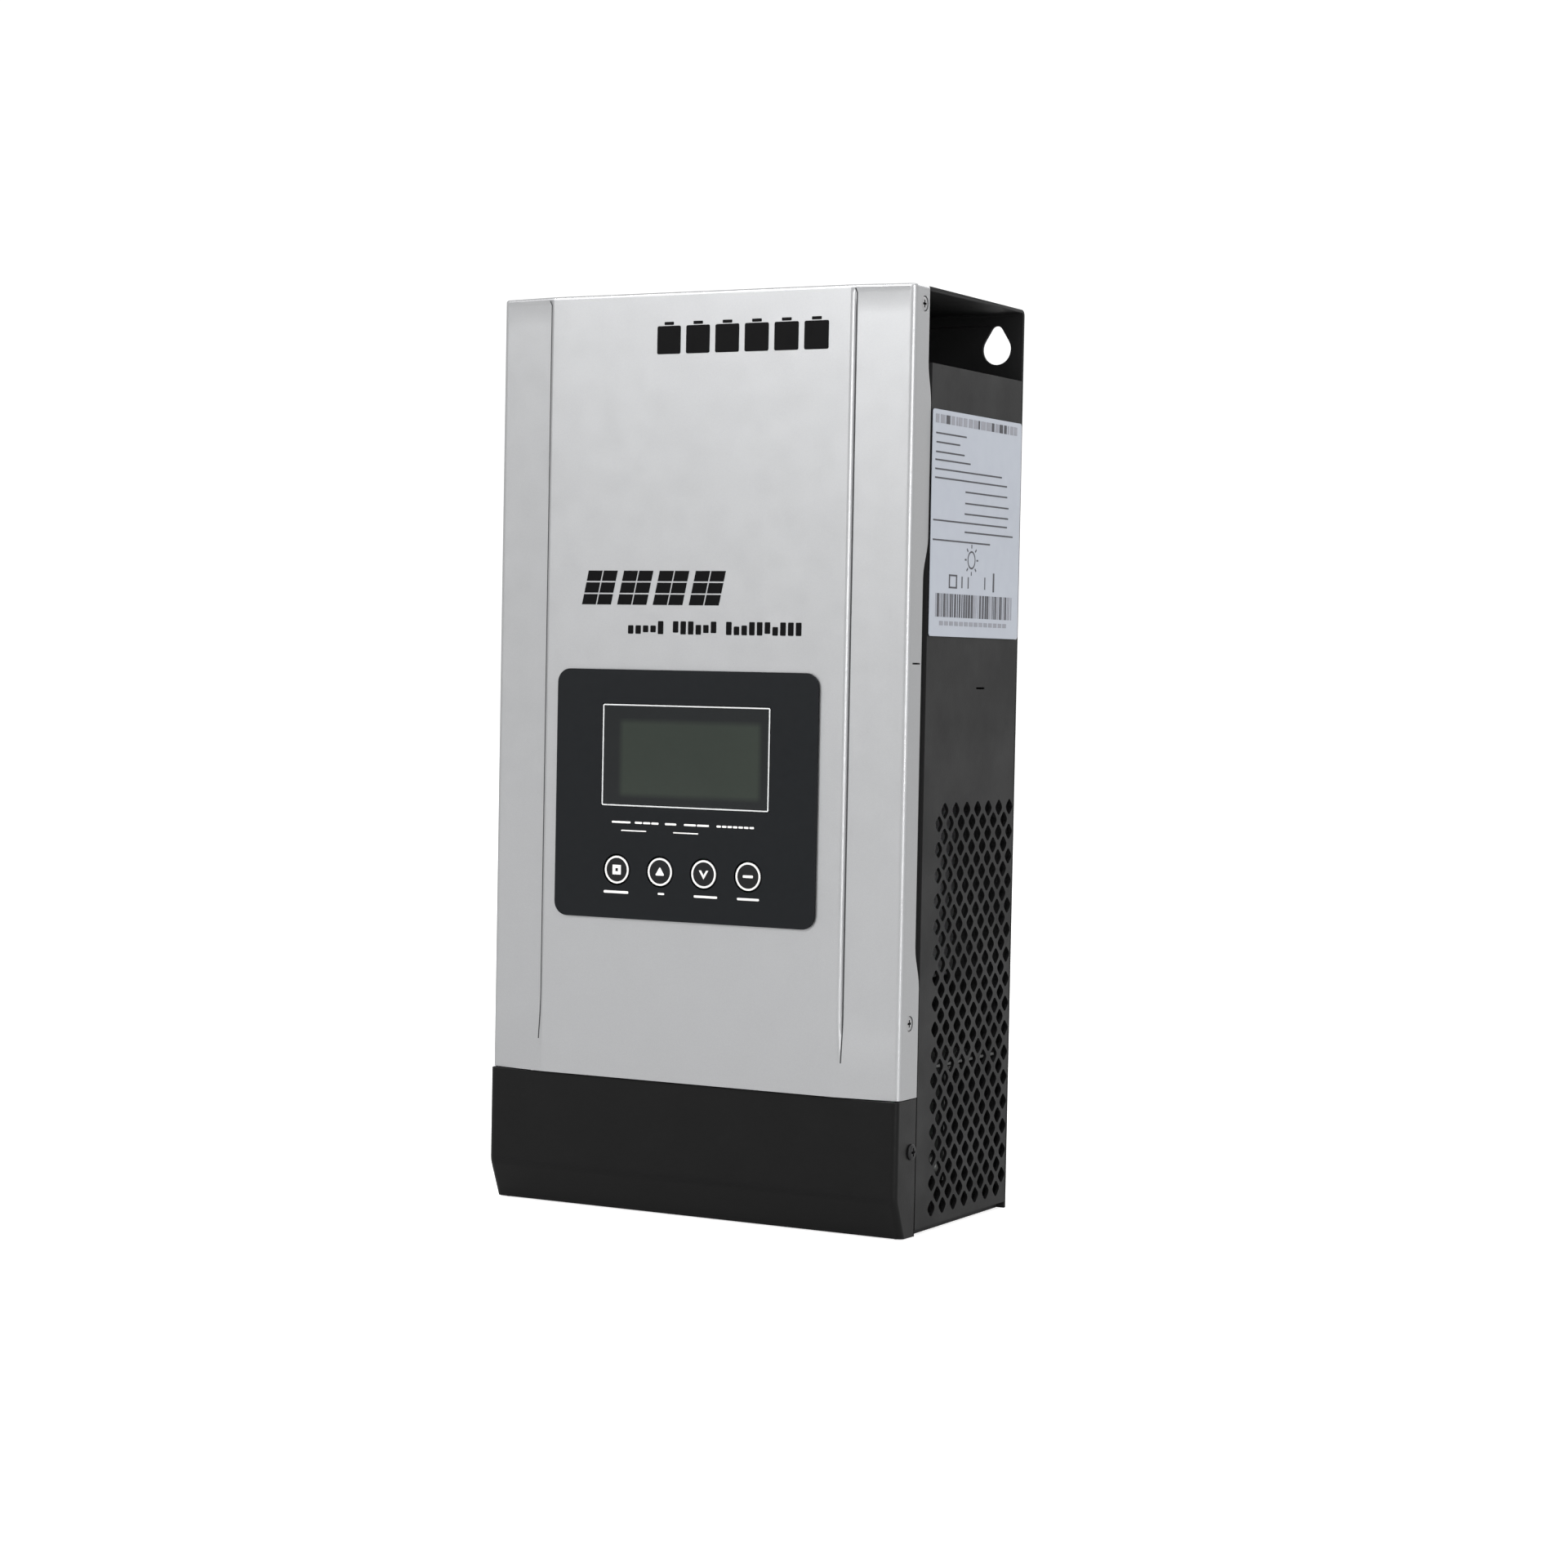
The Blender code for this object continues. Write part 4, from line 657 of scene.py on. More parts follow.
def silver_cover(paint, shade):
    # shade is the dark material of the painted shade line at the foot of each rolled edge
    shape = wall(cover_path(), COVER_BOTTOM, HEIGHT)
    low, high = NOTCH
    ramp = [step * NOTCH_RAMP / 6 for step in range(7)]
    rows = [low + part for part in ramp] + [high - part for part in ramp]
    rows += [BODY_TOP - part for part in ramp] + list(SLIT) + list(STEP_TOP_FADE)
    fade_low, fade_high = STEP_FADE
    rows += [fade_low + (fade_high - fade_low) * step / 5 for step in range(6)]
    left, right = bezel_low.x + OPENING_LIP, bezel_high.x - OPENING_LIP
    bottom, top = bezel_low.z + OPENING_LIP, bezel_high.z - OPENING_LIP
    rows += [bottom, top]
    rows += [level + side * HOLE_PATCH for _, level in COVER_SCREWS for side in (-1, 1)]
    slice_at(shape, 2, sorted(set(round(row, 5) for row in rows)))
    slice_at(shape, 1, [MIDDLE + back for back in (PATCH_FRONT, SLIT_REAR, TOP_FLANGE)])
    slice_at(shape, 0, [left, right])
    remove_faces(shape, lambda at: left < at.x < right and bottom < at.z < top)
    remove_faces(
        shape,
        lambda at: abs(at.x) > SIDE - GAP and SLIT[0] < at.z < SLIT[1]
        and PATCH_FRONT < at.y - MIDDLE < SLIT_REAR,
    )
    for hand in (-1, 1):
        for back, level in COVER_SCREWS:
            open_screw_hole(shape, hand, back, level)
    shade_line = CREASE + rolled_edge()[-2][0]
    for vert in shape.verts:
        rear = RETURN_REAR - notch_depth(vert.co.z)
        if vert.co.y > rear - SLIVER:
            vert.co.y = rear
        share = step_share(vert.co.z)
        for across, depth in rolled_edge():
            if abs(abs(vert.co.x) - CREASE - across) < 1e-5:
                vert.co.y += share * depth
    # Faces just past each rolled edge's foot take the dark second material: a painted shade line
    for face in shape.faces:
        at = face.calc_center_median()
        if shade_line < abs(at.x) < shade_line + SHADE_LINE_WIDTH and step_share(at.z) > SHADE_LINE_FLOOR:
            face.material_index = 1
    bmesh.ops.remove_doubles(shape, verts=shape.verts, dist=1e-6)
    top = [edge for edge in shape.edges if all(vert.co.z > HEIGHT - 1e-6 for vert in edge.verts)]
    rear = sorted(
        {vert for edge in top for vert in edge.verts if vert.co.y > MIDDLE + TOP_FLANGE - 1e-5},
        key=lambda vert: vert.co.x,
    )
    closing = shape.edges.new((rear[0], rear[-1]))
    bmesh.ops.edgeloop_fill(shape, edges=top + [closing])
    face_out(shape, (0, 0, 1))
    bmesh.ops.bevel(
        shape, geom=top, offset=TOP_BEND, segments=4, profile=0.5, affect="EDGES", material=-1,
        clamp_overlap=False,
    )
    made = finished(
        "silver_cover", shape, [paint, shade], slot="silver_paint", replaces=["front_cover"], smooth=50,
    )
    fold(made, even=False)


BAND_HEIGHT = 0.0141
BAND_SETBACK = 0.0058
BAND_FOLD = 0.0016
TERMINAL_SCREW = (0.0129, 0.0299)  # back from the flat middle, above the floor
TERMINAL_SLOT = 0.0017  # half width of the open slot for it


def band_setback(level):
    """How far the lower band stands back at a level, with a soft fold at its top."""
    slope = BAND_SETBACK / (BAND_HEIGHT - wiring_low.z)
    below = BAND_HEIGHT - level
    if below > BAND_FOLD:
        return slope * below
    if below < -BAND_FOLD:
        return 0.0
    return slope * (below + BAND_FOLD) ** 2 / (4 * BAND_FOLD)


def wiring_cover(paint):
    front = wiring_low.y
    rear = wiring_high.y
    corners = [(-SIDE, rear), (-SIDE, front), (SIDE, front), (SIDE, rear)]
    path = rounded(corners, BEND_RADIUS)
    shape = wall(path, wiring_low.z, wiring_high.z)
    steps = 6
    rows = [BAND_HEIGHT + BAND_FOLD * (2 * step / steps - 1) for step in range(steps + 1)]
    back, level = TERMINAL_SCREW
    rows += [level - TERMINAL_SLOT, level + TERMINAL_SLOT]
    slice_at(shape, 2, rows)
    slot_front = MIDDLE + back - TERMINAL_SLOT
    slice_at(shape, 1, [slot_front])
    remove_faces(shape, lambda at: at.y > slot_front and abs(at.z - level) < TERMINAL_SLOT)
    for vert in shape.verts:
        if vert.co.y < rear - 1e-5:
            vert.co.y += band_setback(vert.co.z)
    face_out(shape, (0, -1, 0))
    made = finished(
        "wiring_cover", shape, paint, "terminal_cover_body", "black_paint", ["terminal_cover"], smooth=0,
    )
    fold(made)


VENT_COLUMN = 0.00445
VENT_ROW = 0.0089
VENT_COLUMNS = 14
VENT_ROWS = 16
VENT_FIRST = (0.0298, 0.0082)  # back from the flat middle, above the floor
VENT_HOLE = 0.0033  # half diagonal
VENT_ROUND = 0.0011
HOOK_SLOT = (0.0575, 0.0645, 0.1884, 0.1891)
FLANGE_FRONT = 0.0050
STEP_RUN = 0.0003
BAND_RELIEF = (0.0087, 0.0114)  # flange's relief behind the band: at its bottom, and its level


def vent_outline(y, z):
    """A square hole that stands on a corner, with round corners."""
    corners = around(y, z, VENT_HOLE, 4, pi / 2)
    return rounded(corners[::-1], VENT_ROUND, True, 2)


def side_sheet(side, hand, paint, painted_shadow):
    """A vented side, made as the right one, with its front edge folded in under the silver cover."""
    skin_front = RETURN_REAR + GAP + STEP_RUN
    bottom, top, rear = panel_low.z, panel_high.z, panel_high.y
    loops = [rectangle(skin_front, rear, bottom, top)]
    for column in range(VENT_COLUMNS):
        for row in range(VENT_ROWS):
            y = MIDDLE + VENT_FIRST[0] + column * VENT_COLUMN
            z = VENT_FIRST[1] + row * VENT_ROW + (column % 2) * VENT_ROW / 2
            loops.append(vent_outline(y, z))
    u0, u1, v0, v1 = HOOK_SLOT
    loops.append(rectangle(MIDDLE + u0, MIDDLE + u1, v0, v1, 0.0005, 2))
    shape = bmesh.new()
    perforated(shape, loops, lambda u, v: (SIDE, u, v), Vector((1, 0, 0)))
    front = [edge for edge in shape.edges if all(vert.co.y < skin_front + 1e-6 for vert in edge.verts)]
    for x, y in ((SIDE - TUCK, skin_front - STEP_RUN), (SIDE - TUCK, MIDDLE + FLANGE_FRONT)):
        front, points = drawn_out(shape, front)
        for vert in points:
            vert.co.x, vert.co.y = x, y
    relief_bottom, relief_level = BAND_RELIEF
    slice_at(shape, 2, [relief_level])
    for vert in shape.verts:
        if vert.co.z < bottom + 1e-6 and vert.co.y < MIDDLE + FLANGE_FRONT + 1e-6:
            vert.co.y = MIDDLE + relief_bottom
    # The folded-in flange in front of the step takes the black second material as painted shadow of the gap
    # behind the cover's return
    for face in shape.faces:
        if face.calc_center_median().y < skin_front - STEP_RUN / 4:
            face.material_index = 1
    face_out(shape, (1, 0, 0))
    if hand < 0:
        bmesh.ops.scale(shape, vec=(-1, 1, 1), verts=shape.verts)
        bmesh.ops.reverse_faces(shape, faces=shape.faces)
    made = finished(
        "side_sheet_" + side, shape, [paint, painted_shadow], "case", "grey_paint", ["side_panel_" + side], 0,
    )
    fold(made, even=False)


KEYHOLE_FROM_SIDE = 0.0104
KEYHOLE_BELOW_TOP = 0.0139
KEYHOLE_HEAD = 0.0055
KEYHOLE_NECK = 0.0023
KEYHOLE_RISE = 0.0061
EAR_DROP = 0.0120  # the flange's ears, behind the cover's upper screws
EAR_REACH = 0.0085


def keyhole(side):
    """A teardrop outline: a round head below, a narrow neck above."""
    spread = acos((KEYHOLE_HEAD - KEYHOLE_NECK) / KEYHOLE_RISE)
    u = side * (SIDE - KEYHOLE_FROM_SIDE)
    v = HEIGHT - KEYHOLE_BELOW_TOP
    steps = 10
    neck = arc(u, v + KEYHOLE_RISE, KEYHOLE_NECK, pi / 2 - spread, 2 * spread, steps)
    return neck + arc(u, v, KEYHOLE_HEAD, pi / 2 + spread, 2 * (pi - spread), 2 * steps)


def rear_plate(paint):
    """The chassis back, bent forward over the hanging recess into a flange under the silver cover."""
    bend_level = HEIGHT - BEND_RADIUS
    loops = [rectangle(-SIDE, SIDE, plate_low.z, bend_level), keyhole(-1), keyhole(1)]
    shape = bmesh.new()
    perforated(shape, loops, lambda u, v: (u, REAR, v), Vector((0, 1, 0)))
    edge = [item for item in shape.edges if all(vert.co.z > bend_level - 1e-6 for vert in item.verts)]
    step_back = MIDDLE + TOP_FLANGE + GAP
    run = [
        (REAR - BEND_RADIUS * (1 - cos(turn)), bend_level + BEND_RADIUS * sin(turn))
        for turn in (pi / 2 * step / BEND_STEPS for step in range(1, BEND_STEPS + 1))
    ]
    run += [(step_back, HEIGHT), (step_back - STEP_RUN, HEIGHT - TUCK)]
    run.append((MIDDLE + FLANGE_FRONT, HEIGHT - TUCK))
    for index, (y, z) in enumerate(run):
        edge, points = drawn_out(shape, edge)
        for vert in points:
            vert.co.y, vert.co.z = y, z
            if index >= len(run) - 2:
                vert.co.x = (SIDE - TUCK) * (1 if vert.co.x > 0 else -1)
    face_out(shape, (0, 1, 0))
    made = finished("rear_plate", shape, paint, slot="black_paint", replaces=["back_plate"], smooth=0)
    fold(made)
    ears = bmesh.new()
    inner = SIDE - TUCK
    for hand in (-1, 1):
        low, high = sorted((hand * inner, hand * (inner - SHEET)))
        add_block(
            ears, (low, MIDDLE + FLANGE_FRONT + GAP, HEIGHT - TUCK - EAR_DROP),
            (high, MIDDLE + FLANGE_FRONT + EAR_REACH, HEIGHT - TUCK - SHEET), EASED_EDGE,
        )
    solid("cover_ears", ears, paint, "case", "black_paint")


# ---------------- display


BEZEL_CORNER = 0.0050
BEZEL_EDGE = 0.0004
BUTTON_HOLE = 0.0056
WINDOW_LINE = 0.00045  # silver line round the window
SCREEN = (-0.0290, 0.0292, 0.1476, 0.1760)
# Width of the painted shade that fades the screen's field into its dark border
SCREEN_SHADE_EDGE = 0.0022
SKIRT_INSET = 0.0026  # the bezel's skirt, behind the cover
SKIRT_SHORT = 0.0120
BUTTONS = ("menu", "up", "down", "enter")
BUTTON_RADIUS = 0.0053
BUTTON_SINK = 0.0001
BUTTON_DEPTH = 0.0040
INK_LIFT = 0.00006


def on_front(y):
    """Places a front-view point on a plane that faces the viewer."""
    return lambda u, v: (u, y, v)


def front_sheet(loops, y):
    """A flat sheet that faces the viewer, open inside every outline after the first."""
    shape = bmesh.new()
    perforated(shape, loops, on_front(y), Vector((0, -1, 0)))
    face_out(shape, (0, -1, 0))
    return shape


def screen_bezel(plastic):
    """The bezel's face, with holes for the window and the buttons, and the skirt behind it."""
    loops = [outline_of(BEZEL, 0.0, BEZEL_CORNER, 8), outline_of(WINDOW, -GAP, 0.0006, 3)]
    for low, high in (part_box("button_" + name) for name in BUTTONS):
        loops.append(around((low.x + high.x) / 2, (low.z + high.z) / 2, BUTTON_HOLE, 40))
    made = finished(
        "screen_bezel", front_sheet(loops, FACE), plastic, "case", "bezel_plastic", ["display_bezel"], 0,
    )
    thicken(made, MIDDLE - GAP - FACE)
    ease(made, BEZEL_EDGE, 3)
    rim = outline_of(BEZEL, SKIRT_INSET, BEZEL_CORNER - SKIRT_INSET, 6)
    inner = outline_of(BEZEL, 2 * SKIRT_INSET, 0.001, 6)
    skirt = finished(
        "bezel_skirt", front_sheet([rim, inner], MIDDLE), plastic, slot="bezel_plastic", smooth=0,
    )
    thicken(skirt, bezel_high.y - MIDDLE - SKIRT_SHORT)
    ease(skirt, 0.0002)


def screen_window(glass, line):
    """The window set into the bezel, with a fine silver line round it."""
    shape = bmesh.new()
    depth = window_high.y - window_low.y
    add_plate(shape, outline_of(WINDOW, 0.0, 0.0005, 3), on_front(window_low.y), (0, depth, 0))
    made = solid("screen_window", shape, glass, "case", "lcd_glass", ["lcd_window"], 0)
    ease(made, 0.00015)
    loops = [outline_of(WINDOW, 0.0, 0.0006, 3), outline_of(WINDOW, WINDOW_LINE, 0.0003, 3)]
    thicken(finished("window_line", front_sheet(loops, FACE - 0.00002), line, smooth=0), 0.00022)


def screen_buttons(plastic, ink):
    """Domed buttons, each with a printed ring and its own mark."""
    front = FACE + BUTTON_SINK
    profile = [
        (0.0, 0.0), (0.0030, -0.00002), (0.0044, -0.00006), (0.0049, -0.00012), (0.00515, -0.00028),
        (BUTTON_RADIUS, -0.00055), (BUTTON_RADIUS, -BUTTON_DEPTH), (0.0, -BUTTON_DEPTH),
    ]
    ring = [(0.00425, 0.00008), (0.00486, 0.00008), (0.00492, -0.0002), (0.00418, -0.0002)]
    for name, add_mark in zip(BUTTONS, (menu_mark, up_mark, down_mark, enter_mark)):
        low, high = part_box("button_" + name)
        x, z = (low.x + high.x) / 2, (low.z + high.z) / 2
        shape = bmesh.new()
        add_turned(shape, profile, (x, front, z), (0, -1, 0), 40)
        body = "button_" + name + "_body"
        solid("key_" + name, shape, plastic, body, "button_plastic", ["button_" + name])
        shape = bmesh.new()
        add_turned(shape, ring, (x, front, z), (0, -1, 0), 48)
        add_mark(shape, x, z, on_front(front - INK_LIFT), (0, 0.0002, 0))
        solid("key_print_" + name, shape, ink, body)


def menu_mark(shape, x, z, put, rise):
    """A square with a square eye, of four bars a hair apart."""
    half, eye, hair = 0.0017, 0.00055, 0.00001
    bars = (
        (-half, half, eye + hair, half), (-half, half, -half, -eye - hair), (-half, -eye, -eye, eye),
        (eye, half, -eye, eye),
    )
    for u0, u1, v0, v1 in bars:
        add_plate(shape, rectangle(x + u0, x + u1, z + v0, z + v1), put, rise)


def up_mark(shape, x, z, put, rise):
    corners = [(x - 0.0019, z - 0.0013), (x + 0.0019, z - 0.0013), (x, z + 0.0018)]
    add_plate(shape, rounded(corners, 0.0003, True, 3), put, rise)


def down_mark(shape, x, z, put, rise):
    """A chevron that points down."""
    corners = [
        (x, z - 0.0018), (x + 0.0019, z + 0.0013), (x + 0.0010, z + 0.0013), (x, z - 0.0004),
        (x - 0.0010, z + 0.0013), (x - 0.0019, z + 0.0013),
    ]
    add_plate(shape, corners, put, rise)


def enter_mark(shape, x, z, put, rise):
    add_plate(shape, rectangle(x - 0.0020, x + 0.0020, z - 0.00045, z + 0.00045, 0.0003, 3), put, rise)


# Dashes printed on the bezel: left end, right end, level, height
BEZEL_DASHES = (
    (-0.0310, -0.0233, 0.1391, 0.0007), (-0.0215, -0.0114, 0.1391, 0.0007),
    (-0.0092, -0.0046, 0.1391, 0.0007), (-0.0015, 0.0090, 0.1391, 0.0007),
    (0.0116, 0.0269, 0.1391, 0.0007), (-0.0271, -0.0168, 0.1362, 0.0004),
    (-0.0058, 0.0043, 0.1362, 0.0004), (-0.0339, -0.0237, 0.1143, 0.0009),
    (-0.0116, -0.0090, 0.1145, 0.0007), (0.0030, 0.0124, 0.1143, 0.0008), (0.0203, 0.0290, 0.1143, 0.0008),
)
CUT_DASHES = {4: 7, 1: 3, 3: 2}  # dashes that are broken into shorter ones


def bezel_print(ink):
    shape = bmesh.new()
    for index, (left, right, level, height) in enumerate(BEZEL_DASHES):
        count = CUT_DASHES.get(index, 1)
        pitch = (right - left) / count
        for part in range(count):
            u0 = left + part * pitch
            u1 = u0 + pitch - (0.0004 if count > 1 else 0.0)
            outline = rectangle(u0, u1, level - height / 2, level + height / 2, height * 0.4, 2)
            add_plate(shape, outline, on_front(FACE - 0.00005), (0, 0.0002, 0))
    solid("bezel_print", shape, ink)


# ---------------- marks on the cover


BADGE = (-0.0170, 0.0530, 0.3034, 0.3146)  # a row of cells
BADGE_CELLS = 6
CELL_MARK = (-0.0456, 0.0155, 0.2158, 0.2278)
CELL_COUNT = 4
CELL_SLANT = 0.22
CELL_GAP = 0.0026
CELL_LINE = 0.0005
DASH_ROW = (-0.0263, 0.0439, 0.2056, 0.2102)
DASH_GROUPS = (5, 6, 10)


def cover_print(ink):
    """Plain pictures in place of lettering: battery cells, slanted solar cells and a row of dashes."""
    put = on_front(MIDDLE - INK_LIFT)
    rise = (0, 2 * INK_LIFT, 0)
    shape = bmesh.new()
    left, right, low, high = BADGE
    pitch = (right - left) / BADGE_CELLS
    for cell in range(BADGE_CELLS):
        u0 = left + cell * pitch + 0.0006
        u1 = u0 + pitch - 0.0022
        cap = (u1 - u0) * 0.3
        add_plate(shape, rectangle(u0, u1, low, high - 0.0014, 0.0006, 3), put, rise)
        add_plate(shape, rectangle(u0 + cap, u1 - cap, high - 0.0011, high, 0.0002, 2), put, rise)
    left, right, low, high = CELL_MARK
    lean = (high - low) * CELL_SLANT
    pitch = (right - left - lean) / CELL_COUNT
    wide = (pitch - CELL_GAP + CELL_LINE) / 2
    tall = (high - low + CELL_LINE) / 3
    for cell in range(CELL_COUNT):
        for across in range(2):
            for up in range(3):
                u = left + cell * pitch + across * wide
                v = low + up * tall
                bar = rectangle(u, u + wide - CELL_LINE, v, v + tall - CELL_LINE)
                add_plate(shape, [(a + (b - low) * CELL_SLANT, b) for a, b in bar], put, rise)
    left, right, low, high = DASH_ROW
    total = sum(DASH_GROUPS) + len(DASH_GROUPS) - 1
    pitch = (right - left) / total
    order = Random(5)
    at = left
    for group in DASH_GROUPS:
        for _ in range(group):
            top = high - order.choice((0.0, 0.0012, 0.0016))
            bottom = low + order.choice((0.0, 0.0, 0.0006))
            add_plate(shape, rectangle(at, at + pitch * 0.72, bottom, top, 0.0003, 2), put, rise)
            at += pitch
        at += pitch
    solid("cover_print", shape, ink)


# ---------------- label


LABEL_CORNER = 0.0012
LABEL_RISE = 0.00006
# Lines on the label: start and end from its front edge, level below its top
LABEL_LINES = (
    (0.0026, 0.0269, 0.0078), (0.0030, 0.0218, 0.0109), (0.0028, 0.0255, 0.0142),
    (0.0024, 0.0305, 0.0169), (0.0024, 0.0568, 0.0200), (0.0024, 0.0613, 0.0230),
    (0.0269, 0.0617, 0.0268), (0.0269, 0.0630, 0.0307), (0.0266, 0.0628, 0.0344),
    (0.0016, 0.0620, 0.0375), (0.0269, 0.0670, 0.0407), (0.0016, 0.0480, 0.0442),
)
LABEL_LINE = 0.00055
BAR_CODE = (0.0046, 0.0673, 0.0627, 0.0708)
CHEQUERS = (0.0022, 0.0690, 0.0016, 0.0046)
SUN = (0.0330, 0.0505)
LABEL_BARS = (  # an open box's four sides, then four upright bars
    (0.0150, 0.0216, 0.0560, 0.0566), (0.0150, 0.0216, 0.0602, 0.0608),
    (0.0150, 0.0159, 0.0566, 0.0602), (0.0207, 0.0216, 0.0566, 0.0602),
    (0.0252, 0.0260, 0.0565, 0.0605), (0.0303, 0.0310, 0.0565, 0.0605),
    (0.0440, 0.0447, 0.0562, 0.0605), (0.0510, 0.0522, 0.0545, 0.0612),
)


def side_label(film, ink, grey_ink):
    """A film label with bars and lines only."""
    surface = label_high.x
    top = label_high.z
    front = label_low.y
    shape = bmesh.new()
    add_plate(
        shape, rectangle(label_low.y, label_high.y, label_low.z, label_high.z, LABEL_CORNER, 5),
        lambda u, v: (label_low.x, u, v), (surface - label_low.x, 0, 0),
    )
    solid("side_label", shape, film, "case", "label_film", ["rating_label"])

    def put(u, v):
        return surface - LABEL_RISE, front + u, top - v

    rise = (2 * LABEL_RISE, 0, 0)
    dark, pale = bmesh.new(), bmesh.new()
    for start, end, level in LABEL_LINES:
        add_plate(dark, rectangle(start, end, level, level + LABEL_LINE), put, rise)
    order = Random(11)
    u, end, v0, v1 = CHEQUERS
    while u < end:
        width = order.uniform(0.0012, 0.0044)
        target = order.choice((dark, pale, pale))
        add_plate(target, rectangle(u, min(u + width, end), v0, v1), put, rise)
        u += width + order.uniform(0.0004, 0.0012)
    u, end, v0, v1 = BAR_CODE
    while u < end - 0.0004:
        width = order.uniform(0.0004, 0.0017)
        target = dark if order.random() < 0.65 else pale
        add_plate(target, rectangle(u, min(u + width, end), v0, v1), put, rise)
        u += width + order.uniform(0.0003, 0.0009)
    for index in range(14):
        at = 0.0080 + index * 0.0040
        add_plate(pale, rectangle(at, at + 0.0030, 0.0722, 0.0737), put, rise)
    ring = bmesh.new()
    section = [(0.0026, 0.0), (0.0032, 0.0), (0.0032, 0.0001), (0.0026, 0.0001)]
    add_turned(ring, section, put(*SUN), (1, 0, 0), 28)
    solid("label_ring", ring, ink)
    for turn in range(8):
        add_plate(dark, spoke(*SUN, 0.0041, 0.0054, 0.0003, pi * turn / 4), put, rise)
    for bar in LABEL_BARS:
        add_plate(dark, rectangle(*bar), put, rise)
    solid("label_print", dark, ink)
    solid("label_grey_print", pale, grey_ink)


# ---------------- screws


def grow_rim(shape, edges, steps):
    """Extrudes a ring of edges through (radius, height) steps about the Z axis."""
    for radius, height in steps:
        edges, points = drawn_out(shape, edges)
        for vert in points:
            scale = radius / vert.co.xy.length
            vert.co = (vert.co.x * scale, vert.co.y * scale, height)
    bmesh.ops.edgeloop_fill(shape, edges=edges)


def screw(name, node, base, direction, radius, rise, metals, slot, recess="cross", length=0.0060):
    """A screw with a low domed head and a cross or a slot in it; the recess takes the second of the two
    materials, which on the cover screws is a dark one as painted shade in the recess.
    """
    flat = radius * 0.62
    half, wide = radius * 0.52, radius * 0.15
    if recess == "cross":
        mark = [(half, -wide), (half, wide), (wide, wide), (wide, half), (-wide, half), (-wide, wide)]
        mark += [(-u, -v) for u, v in mark]
    else:
        mark = rectangle(-wide, wide, -flat * 0.92, flat * 0.92)
    shape = bmesh.new()
    perforated(shape, [around(0, 0, flat, 28), mark], lambda u, v: (u, v, rise), Vector((0, 0, 1)))
    open_edges = [edge for edge in shape.edges if edge.is_boundary]
    rim = [edge for edge in open_edges if all(abs(vert.co.xy.length - flat) < 1e-6 for vert in edge.verts)]
    sunk = [edge for edge in open_edges if edge not in rim]
    shank = min(0.0014, radius * 0.8)
    steps = [
        (radius * 0.85, rise * 0.82), (radius * 0.96, rise * 0.5), (radius, rise * 0.1), (radius, -0.0002),
        (radius * 0.9, -0.0004), (shank, -0.0005), (shank, -length),
    ]
    grow_rim(shape, rim, steps)
    grown = bmesh.ops.extrude_edge_only(shape, edges=sunk)
    pit = of_kind(grown, bmesh.types.BMFace)
    sunk = of_kind(grown, bmesh.types.BMEdge)
    for vert in {vert for edge in sunk for vert in edge.verts}:
        vert.co = (vert.co.x * 0.8, vert.co.y * 0.8, rise - radius * 0.4)
    # The recess faces take the second material; where that is a dark one it is painted shade
    for face in pit + bmesh.ops.edgeloop_fill(shape, edges=sunk)["faces"]:
        face.material_index = 1
    turn = Vector(direction).to_track_quat("Z", "Y").to_matrix().to_4x4()
    bmesh.ops.transform(shape, matrix=Matrix.Translation(base) @ turn, verts=shape.verts)
    solid(name, shape, metals, "case", slot, [node])


def case_screws(grey, black):
    """Flush screws in the silver cover's returns, and the wiring cover's screws."""
    for side, hand in (("left", -1), ("right", 1)):
        for height, (back, level) in zip(("upper", "lower"), COVER_SCREWS):
            base = (hand * (SIDE - 0.0004), MIDDLE + back, level)
            name = "cover_screw_%s_%s" % (side, height)
            # The cover screws' cross recesses take the black screw metal as painted shade
            screw(
                "screw_%s_%s" % (side, height), name, base, (hand, 0, 0), 0.0025, 0.0003, (grey, black),
                "nickel_screw",
            )
        back, level = TERMINAL_SCREW
        base = (hand * (SIDE + GAP), MIDDLE + back, level)
        screw(
            "wiring_screw_" + side, "terminal_screw_" + side, base, (hand, 0, 0), 0.0028, 0.0007,
            (black, black), "black_screw",
        )


# ---------------- wiring


PIN_PITCH = 0.00102
PETALS = 8


